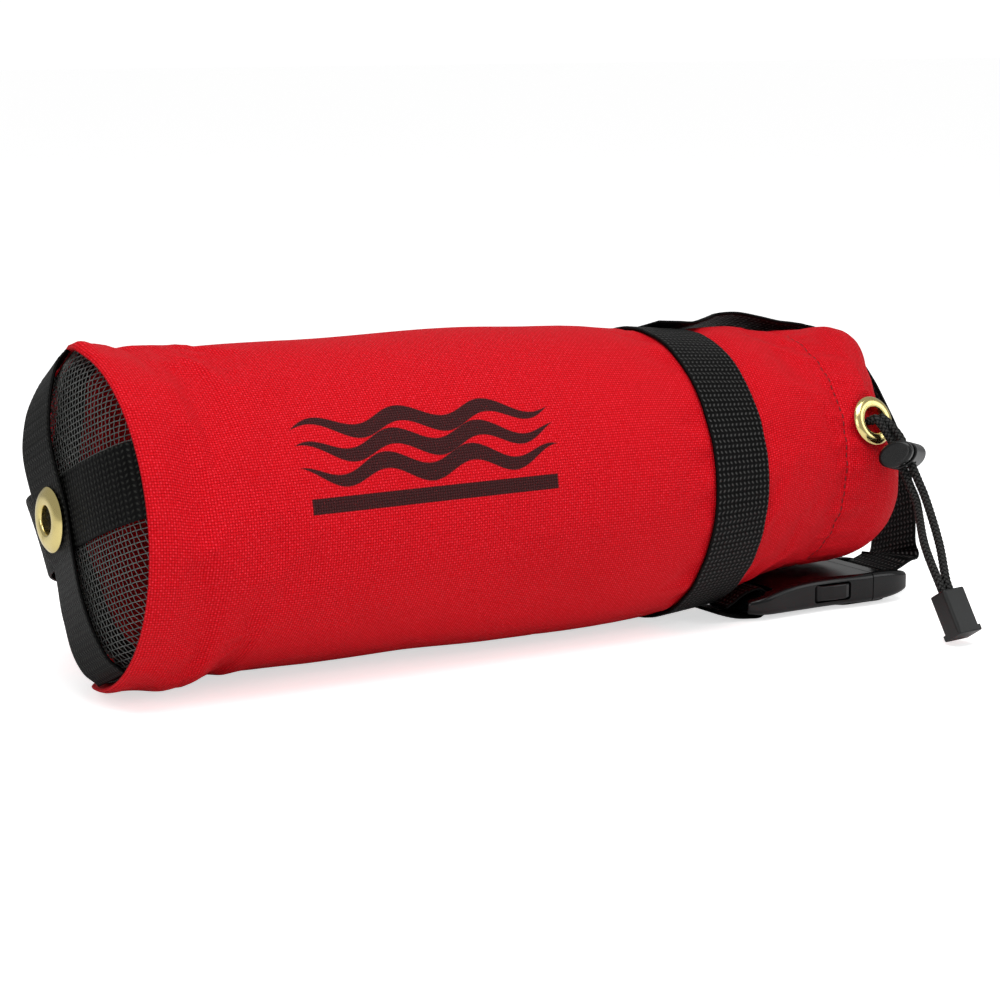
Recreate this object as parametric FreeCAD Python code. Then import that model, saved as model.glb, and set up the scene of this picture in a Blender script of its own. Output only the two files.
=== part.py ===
# Throw line bag: a drawcord-closed fabric tube with a drain-mesh end, webbing, a side-release
# buckle on a strap that closes over the mouth, a spring cord lock and the line packed inside.
# Millimetres.  The bag lies on its side: +X runs from the mesh end to the mouth, +Z is up.
# Everything is laid out from the mesh end's sewn rim (x = 0) and moved at export so that the
# origin is the centre of the end grommet's bore.
import FreeCAD, Part
import math, os

Vec = FreeCAD.Vector
X_AXIS, Y_AXIS, Z_AXIS = Vec(1, 0, 0), Vec(0, 1, 0), Vec(0, 0, 1)
os.makedirs("parts", exist_ok=True)

# ---------------------------------------------------------------- driving dimensions
fabric_t = 1.0             # coated pack cloth with its seam allowance
web_w = 25.4               # 1 inch webbing
web_t = 1.5
mesh_t = 0.8
line_d = 9.5               # throw line, 3/8 inch
cord_d = 3.4               # drawcord
floor_z = -60.8            # lowest point: the strap tail under the buckle
flat_z = -59.6             # the flat the filled bag rests on
press_z = -47.75           # underside over the buckle
hem_x, hem_r = 290.0, 45.2             # hem stitch line
mouth_x, mouth_r = 326.0, 14.0         # drawn mouth
end_z = -2.0                           # centre height of the drawn end
rim_z = -1.6                           # centre height of the mesh end's seam binding
girth_x0, girth_x1 = 222.4, 247.8      # girth strap
strap_roll = 15.0          # the closure strap's plane leans this many degrees from vertical
strap_axis_z = -2.4        # height of that plane's line on the bag's axis
end_roll = 22.0            # lean of the two strips crossed over the mesh end

# end grommet (No. 2 spur): 3/8 inch hole
end_bore, end_barrel, end_flange = 4.75, 5.25, 11.0
end_bore_x0, end_bore_x1 = -10.8, -4.6             # straight bore wall
origin_x = (end_bore_x0 + end_bore_x1) / 2.0
# mouth grommet
mouth_bore, mouth_barrel, mouth_flange = 5.0, 5.45, 9.3
mouth_grommet_x, mouth_grommet_r = 303.0, 45.1     # place along the bag and off its axis
mouth_grommet_angle = math.radians(20.0)           # above horizontal on the -Y side
barrel_gap = 0.1           # hole around a grommet's barrel

# buckle, 1 inch side release
buckle_y, buckle_z = -15.0, -53.6                  # centre line
buckle_x0, seam_x, buckle_x1 = 256.0, 314.0, 333.0     # socket end, seam, plug end
seam_gap = 0.2             # each half stands this far off the seam
buckle_half_w, buckle_half_t = 17.8, 5.6
root_x, root_y, root_r = 316.2, 10.4, 2.2          # round roots of the prongs

# body sections: x, centre height, radius
SECTIONS = [
    (0.0, -1.2, 57.4), (6.0, -1.6, 58.4), (20.0, -3.6, 57.0), (60.0, -3.8, 56.8),
    (110.0, -3.7, 57.0), (150.0, -3.7, 57.0), (185.0, -4.2, 56.3), (205.0, -4.7, 55.2),
    (222.0, -5.1, 53.3), (235.0, -5.3, 52.1), (248.0, -5.2, 50.6), (257.0, -3.5, 49.4),
    (268.0, -2.4, 47.8), (278.0, -2.1, 46.4), (hem_x, end_z, hem_r),
]
# drawn end about end_z: x, radius
END_PROFILE = [
    (hem_x, hem_r), (301.0, 45.2), (310.0, 44.4), (316.5, 41.8), (321.0, 37.4),
    (324.0, 30.5), (325.4, 22.0), (mouth_x, mouth_r),
]
# domed mesh end: x, radius of the mesh's outer face
DOME = [(-6.2, 0.0), (-6.4, 14.0), (-6.1, 26.0), (-4.8, 38.0), (-2.2, 48.0), (1.5, 55.2)]


# ---------------------------------------------------------------- helpers
def save(name, shape):
    shape = shape.copy()
    shape.translate(Vec(-origin_x, 0, 0))
    if shape.ShapeType == "Compound" and len(shape.Solids) == 1:
        shape = shape.Solids[0]
    shape.exportStep("parts/%s.step" % name)


def x_disc(x, z, radius):
    return Part.Wire([Part.makeCircle(radius, Vec(x, 0, z), X_AXIS)])


def x_cylinder(radius, length, x, z=0.0):
    return Part.makeCylinder(radius, length, Vec(x, 0, z), X_AXIS)


def x_tube(inner_r, outer_r, length, x, z=0.0):
    return x_cylinder(outer_r, length, x, z).cut(x_cylinder(inner_r, length, x, z))


def spline(points):
    curve = Part.BSplineCurve()
    curve.interpolate(Points=points, PeriodicFlag=False)
    return curve.toShape()


def line(start, end):
    return Part.LineSegment(start, end).toShape()


def lines(points):
    return [line(a, b) for a, b in zip(points, points[1:])]


def arc(start, middle, end):
    return Part.Arc(start, middle, end).toShape()


def revolve(edges, centre_z=0.0):
    return Part.Face(Part.Wire(edges)).revolve(Vec(0, 0, centre_z), X_AXIS, 360)


def square_to(vector, axis):
    """unit vector: the part of vector square to the unit axis."""
    return (vector - axis * vector.dot(axis)).normalize()


def headings(points):
    last = len(points) - 1
    return [(points[min(i + 1, last)] - points[max(i - 1, 0)]).normalize()
            for i in range(last + 1)]


def offset_profile(profile, offset, first_normal, last_normal=None, centre_z=0.0):
    """(x, radius) points moved along their normals, as vectors in the XZ plane."""
    last = len(profile) - 1
    out = []
    for i, (x, r) in enumerate(profile):
        x0, r0 = profile[max(0, i - 1)]
        x1, r1 = profile[min(last, i + 1)]
        length = math.hypot(x1 - x0, r1 - r0)
        normal = (-(r1 - r0) / length, (x1 - x0) / length)
        if i == 0:
            normal = first_normal
        if i == last and last_normal:
            normal = last_normal
        out.append(Vec(x + normal[0] * offset, 0, centre_z + r + normal[1] * offset))
    return out


def one_arc(start, tangent, end):
    """circular arc from start, leaving along tangent, to end."""
    chord = end - start
    normal = chord - tangent * chord.dot(tangent)
    if normal.Length < 1e-4 * chord.Length:
        return line(start, end)
    radius = chord.Length ** 2 / (2.0 * normal.Length)
    centre = start + normal * (radius / normal.Length)
    middle = ((start - centre) + (end - centre)).normalize()
    return arc(start, centre + middle * radius, end)


def arcs_through(points, tangents):
    """smooth chain: two arcs between each pair of points, tangent to each other."""
    out = []
    for p0, t0, p1, t1 in zip(points, tangents, points[1:], tangents[1:]):
        t0, t1 = Vec(t0).normalize(), Vec(t1).normalize()
        chord = p1 - p0
        turn = 2.0 * (1.0 - t0.dot(t1))
        if turn < 1e-9 and (chord - t0 * chord.dot(t0)).Length < 1e-6:
            out.append(line(p0, p1))
            continue
        # reach is the equal tangent length that makes the two arcs meet smoothly
        along = chord.dot(t0 + t1)
        square = chord.dot(chord)
        if turn > 1e-9:
            reach = (-along + math.sqrt(along * along + turn * square)) / turn
        else:
            reach = square / (2 * along)
        join = (p0 + p1 + (t0 - t1) * reach) * 0.5
        out.append(one_arc(p0, t0, join))
        # the second arc is found backwards from p1, then redrawn forwards
        back = one_arc(p1, t1 * -1.0, join)
        if isinstance(back.Curve, Part.Line):
            out.append(line(join, p1))
        else:
            middle = (back.FirstParameter + back.LastParameter) / 2
            out.append(arc(join, back.valueAt(middle), p1))
    return out


def pipe(points, tangents, diameter):
    spine = Part.Wire(arcs_through(points, tangents))
    start = Vec(tangents[0]).normalize()
    profile = Part.Wire([Part.makeCircle(diameter / 2.0, points[0], start)])
    return spine.makePipeShell([profile], True, False)


def ribbon(points, width_dirs, thickness, width, ruled=False):
    """strap whose centre follows points; its thickness is square to path and width."""
    wires = []
    for centre, heading, width_dir in zip(points, headings(points), width_dirs):
        across = square_to(width_dir, heading)
        a = across * (width / 2.0)
        b = heading.cross(across).normalize() * (thickness / 2.0)
        corners = [centre - a - b, centre + a - b, centre + a + b, centre - a + b]
        wires.append(Part.makePolygon(corners + [corners[0]]))
    return Part.makeLoft(wires, True, ruled)


def cut_below(shape, z, x=-60):
    """cut away what lies under height z, from x on towards the mouth."""
    return shape.cut(Part.makeBox(500, 300, 100, Vec(x, -150, z - 100)))


def soften(shape, radius, pick):
    """round the picked edges."""
    edges = [e for e in shape.Edges if pick(e)]
    for r in (radius, radius * 0.7, radius * 0.45):
        # guards against a radius the kernel cannot build: a smaller one is tried,
        # and the edges stay sharp if none works
        try:
            rounded = shape.makeFillet(r, edges)
            if rounded.isValid() and len(rounded.Solids) == 1:
                return rounded
        except Exception:
            pass
    return shape


# edge pickers for soften
def longer(axis, length):
    return lambda e: getattr(e.BoundBox, axis + "Length") > length


def top_rim(z):
    return lambda e: abs(e.BoundBox.ZMin - z) < 0.01


def bottom_rim(z):
    return lambda e: abs(e.BoundBox.ZMax - z) < 0.01


def placed(shape, origin, x_dir, y_dir, z_dir):
    matrix = FreeCAD.Matrix(x_dir.x, y_dir.x, z_dir.x, origin.x,
                            x_dir.y, y_dir.y, z_dir.y, origin.y,
                            x_dir.z, y_dir.z, z_dir.z, origin.z,
                            0, 0, 0, 1)
    out = shape.copy()
    out.Placement = FreeCAD.Placement(matrix).multiply(out.Placement)
    return out


# ---------------------------------------------------------------- bag body
# centre and outward direction of the mouth grommet
grommet_cos, grommet_sin = math.cos(mouth_grommet_angle), math.sin(mouth_grommet_angle)
grommet_at = Vec(mouth_grommet_x, -mouth_grommet_r * grommet_cos,
                 end_z + mouth_grommet_r * grommet_sin)
grommet_out = Vec(0.08, -grommet_cos, grommet_sin).normalize()


def body_form(offset):
    tube = Part.makeLoft([x_disc(x, z, r + offset) for x, z, r in SECTIONS], True)
    points = offset_profile(END_PROFILE, offset, (0.0, 1.0), (1.0, 0.0), end_z)
    first, last = points[0], points[-1]
    edges = [spline(points)] + lines([last, Vec(last.x, 0, end_z),
                                      Vec(first.x, 0, end_z), first])
    return tube.fuse(revolve(edges, end_z)).removeSplitter()


def bag_body():
    # the buckle and its strap press the underside flat ahead of the girth strap
    outer = cut_below(cut_below(body_form(0.0), flat_z), press_z, 249.6)
    inner = cut_below(cut_below(body_form(-fabric_t), flat_z + fabric_t),
                      press_z + fabric_t, 248.6)
    # the inner form runs past the open mesh end
    inner = inner.fuse(x_cylinder(56.0, 3.0, -2.5, -1.2))
    shell = outer.cut(inner)
    shell = shell.cut(x_cylinder(mouth_r, 30, 310, end_z))
    return shell.cut(Part.makeCylinder(mouth_barrel + barrel_gap, 12,
                                       grommet_at - grommet_out * 6, grommet_out))


save("bag_body", bag_body())


# ---------------------------------------------------------------- domed end
def dome_shell(inner_offset, outer_offset):
    outer = offset_profile(DOME, outer_offset, (-1.0, 0.0))
    inner = offset_profile(DOME, inner_offset, (-1.0, 0.0))
    shell = revolve([spline(outer), line(outer[-1], inner[-1]),
                     spline(inner), line(inner[0], outer[0])])
    return shell.cut(x_cylinder(end_barrel + barrel_gap, 40, -25))


def strip_box(angle):
    box = Part.makeBox(60, web_w, 104.0, Vec(-40, -web_w / 2.0, -52.0))
    box.rotate(Vec(0, 0, 0), X_AXIS, angle)
    return box


# the cross strip lies under the upright one, square to it
layer_gap = 0.1
upright_offset = 2 * layer_gap + web_t
save("drain_mesh_panel", dome_shell(-mesh_t, 0.0))
save("end_strap_cross",
     dome_shell(layer_gap, layer_gap + web_t).common(strip_box(90 - end_roll)))
save("end_strap_upright",
     dome_shell(upright_offset, upright_offset + web_t).common(strip_box(-end_roll)))
save("end_seam_binding", cut_below(x_tube(53.5, 54.6, 11.0, 3.2, rim_z), -56.0))


# ---------------------------------------------------------------- grommets
def grommet(centre, out, bore, barrel, flange, outer, inner, crown, roll):
    """eyelet: flange outside, straight bore wall from outer to inner (places along out),
    domed by crown outside, its inner lip rolled to radius roll."""
    def at(along, radius):
        return Vec(along, 0, radius)

    top = at(outer + crown, bore + crown * 1.1)
    edges = [arc(at(outer, bore), at(outer + crown * 0.75, bore + crown * 0.35), top),
             arc(top, at(outer + crown * 0.72, (bore + flange) / 2 + 1.0),
                 at(outer - 0.55, flange))]
    edges += lines([at(outer - 0.55, flange), at(outer - 0.95, flange - 0.35),
                    at(outer - 0.95, barrel + 0.35), at(outer - 1.3, barrel),
                    at(inner + 0.15, barrel), at(inner + 0.15, roll)])
    edges += [arc(at(inner + 0.15, roll), at(inner - 0.35, roll - 0.2),
                  at(inner - 0.55, roll - 0.75)),
              line(at(inner - 0.55, roll - 0.75), at(inner - 0.5, bore + 0.5)),
              arc(at(inner - 0.5, bore + 0.5), at(inner - 0.36, bore + 0.14), at(inner, bore)),
              line(at(inner, bore), at(outer, bore))]
    eyelet = revolve(edges)
    eyelet.Placement = FreeCAD.Placement(centre, FreeCAD.Rotation(X_AXIS, out))
    return eyelet


def washer(centre, out, inner_r, outer_r, start, end):
    ring = x_tube(inner_r, outer_r, end - start, start)
    rims = [e for e in ring.Edges
            if hasattr(e.Curve, "Radius") and abs(e.Curve.Radius - outer_r) < 1e-6]
    ring = ring.makeFillet(0.2, rims)
    ring.Placement = FreeCAD.Placement(centre, FreeCAD.Rotation(X_AXIS, out))
    return ring


# the end grommet faces -X, so its places along the axis are -x
end_at, end_out = Vec(0, 0, 0), Vec(-1, 0, 0)
save("end_grommet_eyelet", grommet(end_at, end_out, end_bore, end_barrel, end_flange,
                                   outer=-end_bore_x0, inner=-end_bore_x1, crown=1.1, roll=7.6))
save("end_grommet_washer", washer(end_at, end_out, end_barrel + barrel_gap, 10.4,
                                  -end_bore_x1 + 0.2, -end_bore_x1 + 0.7))
# the mouth grommet's washer is held off the curved inner face
save("mouth_grommet_eyelet", grommet(grommet_at, grommet_out, mouth_bore, mouth_barrel,
                                     mouth_flange, outer=1.6, inner=-2.9, crown=1.0, roll=7.2))
save("mouth_grommet_washer", washer(grommet_at, grommet_out, mouth_barrel + 0.08, 8.9,
                                    -2.70, -2.05))

# ---------------------------------------------------------------- girth strap
girth_gap = 0.35           # between the body and the strap


def section_at(x):
    """centre height and radius of the body at x."""
    for (x0, z0, r0), (x1, z1, r1) in zip(SECTIONS, SECTIONS[1:]):
        if x0 <= x <= x1:
            share = (x - x0) / (x1 - x0)
            return z0 + share * (z1 - z0), r0 + share * (r1 - r0)


def girth_form(offset):
    wires = []
    for x in (girth_x0, 229.0, 235.0, 241.0, girth_x1):
        z, r = section_at(x)
        wires.append(x_disc(x, z, r + offset + girth_gap))
    return Part.makeLoft(wires, True)


save("girth_strap", girth_form(web_t).cut(girth_form(0.0)))

# ---------------------------------------------------------------- closure strap
roll_sin = math.sin(math.radians(strap_roll))
roll_cos = math.cos(math.radians(strap_roll))
strap_across = Vec(0, roll_cos, -roll_sin)

# centre line in the leaning plane: x, height up the plane
UPPER = [
    (248.6, 49.6), (255.0, 50.2), (262.0, 51.6), (270.0, 52.8), (279.0, 52.6), (288.0, 50.4),
    (297.0, 47.9), (305.0, 47.1), (312.0, 46.0), (318.5, 43.2), (324.5, 38.0), (329.6, 31.0),
    (332.9, 24.4),
]
LOWER = [
    (334.0, 21.9), (337.6, 14.0), (342.2, 3.0), (345.4, -9.0), (345.6, -20.0),
    (343.6, -30.0), (341.2, -38.4), (337.8, -45.0),
]
# on to the buckle, over the plug's bar: x, height above the buckle's centre line
OVER_BAR = [(334.6, 6.6), (331.0, 5.0), (326.8, 3.9)]


def in_strap_plane(table):
    return [Vec(x, h * roll_sin, strap_axis_z + h * roll_cos) for x, h in table]


def closure_strap_lower():
    points = in_strap_plane(LOWER)
    # the last two stations swing over to the buckle's centre line
    points[-2].y = -12.8
    points[-1].y = -14.4
    points += [Vec(x, buckle_y, buckle_z + z) for x, z in OVER_BAR]
    across = [strap_across] * 4 + [Vec(0, 0.985, -0.17), Vec(0, 0.993, -0.11)] + [Y_AXIS] * 5
    return ribbon(points, across, web_t, web_w)


save("closure_strap_upper",
     ribbon(in_strap_plane(UPPER), [strap_across] * len(UPPER), web_t, web_w))
save("closure_strap_lower", closure_strap_lower())

# tail: from the ladder slot down and back under the buckle
tail_points = [Vec(327.0, buckle_y, buckle_z - 6.35), Vec(321.0, buckle_y, floor_z + 0.80),
               Vec(312.0, buckle_y, floor_z + 0.78), Vec(299.0, buckle_y, floor_z + 0.78)]
save("closure_strap_tail",
     ribbon(tail_points, [Y_AXIS] * 4, web_t - 0.1, web_w - 0.4, ruled=True))


# ---------------------------------------------------------------- buckle
def closed_prism(upper, lower, sweep):
    """splines through two rows of points, closed by straight ends, and extruded."""
    lower = lower[::-1]
    wire = Part.Wire([spline(upper), line(upper[-1], lower[0]),
                      spline(lower), line(lower[-1], upper[0])])
    return Part.Face(wire).extrude(sweep)


def buckle_form(plan, top, bottom):
    """plan: x, half width.  top and bottom: x, height off the centre line."""
    outline = closed_prism([Vec(x, buckle_y + y, buckle_z - 8) for x, y in plan],
                           [Vec(x, buckle_y - y, buckle_z - 8) for x, y in plan],
                           Vec(0, 0, 16))
    side = closed_prism([Vec(x, buckle_y - 30, buckle_z + z) for x, z in top],
                        [Vec(x, buckle_y - 30, buckle_z + z) for x, z in bottom],
                        Vec(0, 60, 0))
    return outline.common(side)


def buckle_box(x0, x1, half_width, z0, z1, mid_y=0.0):
    return Part.makeBox(x1 - x0, 2 * half_width, z1 - z0,
                        Vec(x0, buckle_y + mid_y - half_width, buckle_z + z0))


def buckle_socket():
    end_x = seam_x - seam_gap
    socket = buckle_form(
        [(buckle_x0, 15.2), (260, 16.9), (270, 17.3), (283, 16.6), (295, 16.4), (306, 17.3),
         (end_x, buckle_half_w)],
        [(buckle_x0, 0.8), (262, 2.0), (272, 4.3), (284, 5.4), (300, buckle_half_t),
         (end_x, buckle_half_t)],
        [(buckle_x0, -4.4), (262, -5.2), (272, -5.5), (284, -buckle_half_t),
         (300, -buckle_half_t), (end_x, -buckle_half_t)])
    socket = soften(socket, 2.2, longer("X", 40))
    socket = soften(socket, 1.6, lambda e: e.BoundBox.XMax < buckle_x0 + 0.6)
    cavity = soften(buckle_box(282.0, seam_x + 1, 14.7, -4.2, 4.2), 1.2, longer("X", 20))
    flare = buckle_box(seam_x - 1.4, seam_x + 1, 15.2, -4.5, 4.5)
    windows = soften(buckle_box(286.6, 303.6, 25, -3.6, 3.6), 1.4, longer("Y", 20))
    strap_slot = soften(buckle_box(264.0, 269.4, 13.4, -10, 10), 1.5, longer("Z", 10))
    return socket.cut(cavity).cut(flare).cut(windows).cut(strap_slot)


def buckle_plug():
    start_x = seam_x + seam_gap
    plug = buckle_form(
        [(start_x, buckle_half_w), (320, 17.7), (327, 17.1), (buckle_x1, 15.0)],
        [(start_x, buckle_half_t), (320, 5.5), (327, 4.9), (buckle_x1, 3.6)],
        [(start_x, -buckle_half_t), (320, -5.3), (327, -4.5), (buckle_x1, -3.4)])
    plug = soften(plug, 2.0, longer("X", 14))
    plug = soften(plug, 1.6, lambda e: e.BoundBox.XMin > buckle_x1 - 0.6)
    for x0, x1 in ((319.4, 323.9), (327.3, 331.0)):     # ladder slots
        plug = plug.cut(soften(buckle_box(x0, x1, 13.3, -10, 10), 1.2, longer("Z", 10)))
    # the bars sit below the top face
    plug = plug.cut(buckle_box(319.6, buckle_x1 + 2, 13.3, 2.2, 9))
    tongue = soften(buckle_box(287.0, seam_x + 2, 4.4, -2.5, 2.5), 1.0, longer("X", 10))
    plug = plug.fuse(tongue)
    for side in (1, -1):
        y = side * root_y
        notch = Part.makeCylinder(root_r + 0.08, 7.0,
                                  Vec(root_x, buckle_y + y, buckle_z - 3.5), Z_AXIS)
        relief = buckle_box(seam_x - 1, root_x - 0.2, 3.1, -3.5, 3.5, mid_y=y)
        plug = plug.cut(notch).cut(relief)
    return plug.removeSplitter()


# prong outline: x, distance from the buckle's centre line
PRONG = [
    (root_x - 0.6, 8.9), (304.0, 9.4), (290.0, 9.0), (287.9, 9.8), (287.3, 11.5),
    (287.5, 14.2), (289.6, 16.6), (295.0, 17.3), (301.0, 17.5), (302.7, 16.9), (303.0, 15.2),
    (303.2, 12.9), (306.0, 12.3), (root_x - 0.6, 12.0),
]
prong_t = 6.0


def buckle_prong(side):
    base_z = buckle_z - prong_t / 2
    outline = Part.makePolygon([Vec(x, buckle_y + side * y, base_z)
                                for x, y in PRONG + PRONG[:1]])
    prong = Part.Face(outline).extrude(Vec(0, 0, prong_t))
    # round the long edges of the outer, pressed face
    prong = soften(prong, 0.8, lambda e: e.BoundBox.ZLength < 0.01 and e.BoundBox.XMin > 286 and
                   abs(e.CenterOfMass.y - (buckle_y + side * 17.0)) < 0.8)
    root = Part.makeCylinder(root_r, prong_t,
                             Vec(root_x, buckle_y + side * root_y, base_z), Z_AXIS)
    return prong.fuse(root).removeSplitter()


save("buckle_socket", buckle_socket())
save("buckle_plug", buckle_plug())
save("buckle_prong_left", buckle_prong(1))
save("buckle_prong_right", buckle_prong(-1))

# short strap from the girth strap to the socket's bar, folded round it: x, z
SOCKET_STRAP = [
    (248.8, -57.9), (253.5, -59.3), (259.0, -59.95), (264.0, -60.0),
    (266.8, buckle_z - 3.6), (266.8, buckle_z + 1.0), (264.2, buckle_z + 4.2),
    (259.5, buckle_z + 3.9), (255.3, buckle_z + 2.6), (251.4, buckle_z + 0.8),
]
socket_strap_t = 1.3
save("socket_strap", ribbon([Vec(x, buckle_y, z) for x, z in SOCKET_STRAP],
                            [Y_AXIS] * len(SOCKET_STRAP), socket_strap_t, web_w))

# ---------------------------------------------------------------- drawcord in the hem
cords_across = square_to(X_AXIS, grommet_out)      # across the two cords at the grommet
grommet_shift = cords_across * (cord_d / 2.0 + 0.12)
ring_x, ring_r, ring_steps = 319.6, 22.5, 14       # the cord's run round the mouth


def drawcord_hem():
    points = [grommet_at - grommet_out * 1.4 - grommet_shift,
              grommet_at - grommet_out * 4.4 - grommet_shift,
              Vec(307.0, -34.0, 6.6), Vec(314.5, -28.0, -1.0)]
    for i in range(ring_steps + 1):
        angle = math.radians(200.0 + 310.0 * i / ring_steps)
        points.append(Vec(ring_x, ring_r * math.cos(angle), end_z + ring_r * math.sin(angle)))
    points += [Vec(315.8, -24.0, 19.2), Vec(309.4, -31.6, 16.2),
               grommet_at - grommet_out * 4.6 + grommet_shift,
               grommet_at - grommet_out * 1.4 + grommet_shift]
    tangents = headings(points)
    tangents[:2] = [grommet_out * -1.0] * 2
    tangents[-2:] = [grommet_out] * 2
    return pipe(points, tangents, cord_d)


save("drawcord_hem", drawcord_hem())

# ---------------------------------------------------------------- cord tails, lock and cord end
lock_at = Vec(307.6, -55.6, 1.6)
lock_run = Vec(0.10, -0.50, -0.86).normalize()     # cords run this way through the lock
plunger_out = square_to(Vec(-0.82, -0.533, 0.211), lock_run)   # out towards the cap
lock_across = lock_run.cross(plunger_out).normalize()          # across the two cords
lock_spacing = cord_d / 2.0 + 0.1

sleeve_at = Vec(299.3, -91.8, -42.8)               # where the cords enter the cord end
sleeve_run = (Vec(300.1, -101.0, -57.6) - sleeve_at).normalize()
sleeve_across = square_to(X_AXIS, sleeve_run)
sleeve_depth = sleeve_run.cross(sleeve_across).normalize()
sleeve_spacing = 1.76


def oval(half_x, half_y, z0, z1):
    """ellipse, longer along X, extruded in Z."""
    ellipse = Part.Ellipse(Vec(0, 0, z0), half_x, half_y).toShape()
    return Part.Face(Part.Wire([ellipse])).extrude(Vec(0, 0, z1 - z0))


def in_lock(shape):
    """lock frame: X across the cords, Y back along the cords, Z out along the plunger."""
    return placed(shape, lock_at, lock_across * -1.0, lock_run * -1.0, plunger_out)


def in_sleeve(shape):
    """cord end frame: X across the cords, Z along them away from the lock."""
    return placed(shape, sleeve_at, sleeve_across, sleeve_depth, sleeve_run)


def cord_tail(side):
    at_grommet = grommet_shift * side
    in_slot = lock_across * (lock_spacing * side)
    at_sleeve = sleeve_across * (sleeve_spacing * side)
    middle = (lock_at + lock_run * 18.0 + sleeve_at) * 0.5
    points = [grommet_at - grommet_out * 0.4 + at_grommet,
              grommet_at + grommet_out * 4.3 + at_grommet,
              lock_at - lock_run * 6.0 - in_slot,
              lock_at + lock_run * 16.0 - in_slot,
              middle + Vec(2.9 * side - 0.9, 0, 0.6) - in_slot * 0.25,
              sleeve_at - sleeve_run * 3.5 + at_sleeve,
              sleeve_at + sleeve_run * 6.5 + at_sleeve]
    tangents = [grommet_out, grommet_out, lock_run, lock_run,
                (points[5] - points[3]).normalize(), sleeve_run, sleeve_run]
    return pipe(points, tangents, cord_d)


# the two strands end in one melted knob
knob = soften(oval(3.9, 3.1, 5.6, 10.0), 0.6, top_rim(10.0))
save("drawcord_tails", cord_tail(1).fuse(cord_tail(-1)).fuse(in_sleeve(knob)))

lock_half_x, lock_half_y, lock_wall = 7.0, 4.8, 1.2
plunger_gap = 0.2          # between the plunger and the lock's wall
lock_z0, lock_z1 = -9.0, 4.4
cap_z0, cap_z1 = 7.8, 10.8


def cord_slot(z0, z1):
    half_x = 3.85
    slot = Part.makeBox(2 * half_x, 40, z1 - z0, Vec(-half_x, -20, z0))
    return slot.makeFillet(1.9, [e for e in slot.Edges if e.BoundBox.YLength > 30])


def cord_lock_body():
    body = oval(lock_half_x, lock_half_y, lock_z0, lock_z1)
    body = soften(body, 1.6, bottom_rim(lock_z0))
    body = soften(body, 0.4, top_rim(lock_z1))
    body = body.cut(oval(lock_half_x - lock_wall, lock_half_y - lock_wall, -7.4, 5.4))
    return body.cut(cord_slot(-1.95, 1.95))


def cord_lock_plunger():
    inset = lock_wall + plunger_gap
    stem = oval(lock_half_x - inset, lock_half_y - inset, -3.4, 8.2)
    stem = stem.cut(cord_slot(-1.85, 5.4))
    cap = oval(6.8, 4.7, cap_z0, cap_z1)
    cap = soften(cap, 1.4, top_rim(cap_z1))
    cap = soften(cap, 0.4, bottom_rim(cap_z0))
    return stem.fuse(cap).removeSplitter()


def cord_lock_spring():
    pitch, height, coil_r, wire_r = 0.8, 3.2, 2.3, 0.25
    helix = Part.makeHelix(pitch, height, coil_r)
    helix.translate(Vec(0, 0, -7.1))
    edge = helix.Edges[0]
    start = edge.FirstParameter
    profile = Part.Wire([Part.makeCircle(wire_r, edge.valueAt(start), edge.tangentAt(start))])
    return helix.makePipeShell([profile], True, True)


save("cord_lock_body", in_lock(cord_lock_body()))
save("cord_lock_plunger", in_lock(cord_lock_plunger()))
save("cord_lock_spring", in_lock(cord_lock_spring()))


# cord end: a square sleeve over the knob, shut by a push-in plug
def block(width, depth, height, z):
    return Part.makeBox(width, depth, height, Vec(-width / 2, -depth / 2, z))


def cord_end_sleeve():
    sleeve = soften(block(10.4, 8.6, 15.0, 0), 1.3, longer("Z", 10))
    sleeve = soften(sleeve, 0.6, lambda e: e.BoundBox.ZMax < 0.01)
    entry = block(7.8, 4.4, 4, -1)
    entry = entry.makeFillet(1.9, [e for e in entry.Edges if e.BoundBox.ZLength > 3])
    return sleeve.cut(entry).cut(block(8.5, 6.6, 20, 2.6))


def cord_end_plug():
    flange = soften(block(11.4, 9.6, 2.2, 15.1), 1.0, longer("Z", 2))
    flange = soften(flange, 0.6, lambda e: e.BoundBox.ZMin > 17.2)
    return block(7.8, 6.4, 3.6, 12.2).fuse(flange).removeSplitter()


save("cord_end_sleeve", in_sleeve(cord_end_sleeve()))
save("cord_end_plug", in_sleeve(cord_end_plug()))

# ---------------------------------------------------------------- the packed line
pack_x, pack_z = 104.0, -3.9           # start of the coils and their axis
pack_pitch, pack_turns = 10.4, 9
points_per_turn = 4


def pack_at(turns):
    return pack_x + pack_pitch * turns


# three layers, outermost first, joined by half turns: radius from, to, x from, to, turns
WINDINGS = [
    (47.4, 47.4, pack_x, pack_at(pack_turns), pack_turns),
    (46.0, 37.4, pack_at(pack_turns + 0.6), pack_at(pack_turns + 1.15), 0.5),
    (36.6, 36.6, pack_at(pack_turns + 0.6), pack_x, pack_turns + 0.6),
    (35.0, 26.6, pack_x - 3.0, pack_x - 5.0, 0.5),
    (25.8, 25.8, pack_x, pack_at(pack_turns + 1), pack_turns + 1),
]
# the free end, out towards the mouth
LINE_END = [(216.0, 22.0, -12.0), (240.0, 6.0, -8.0), (270.0, -4.0, -2.0),
            (296.0, 2.0, -2.0), (309.0, 0.0, -1.6)]


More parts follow.
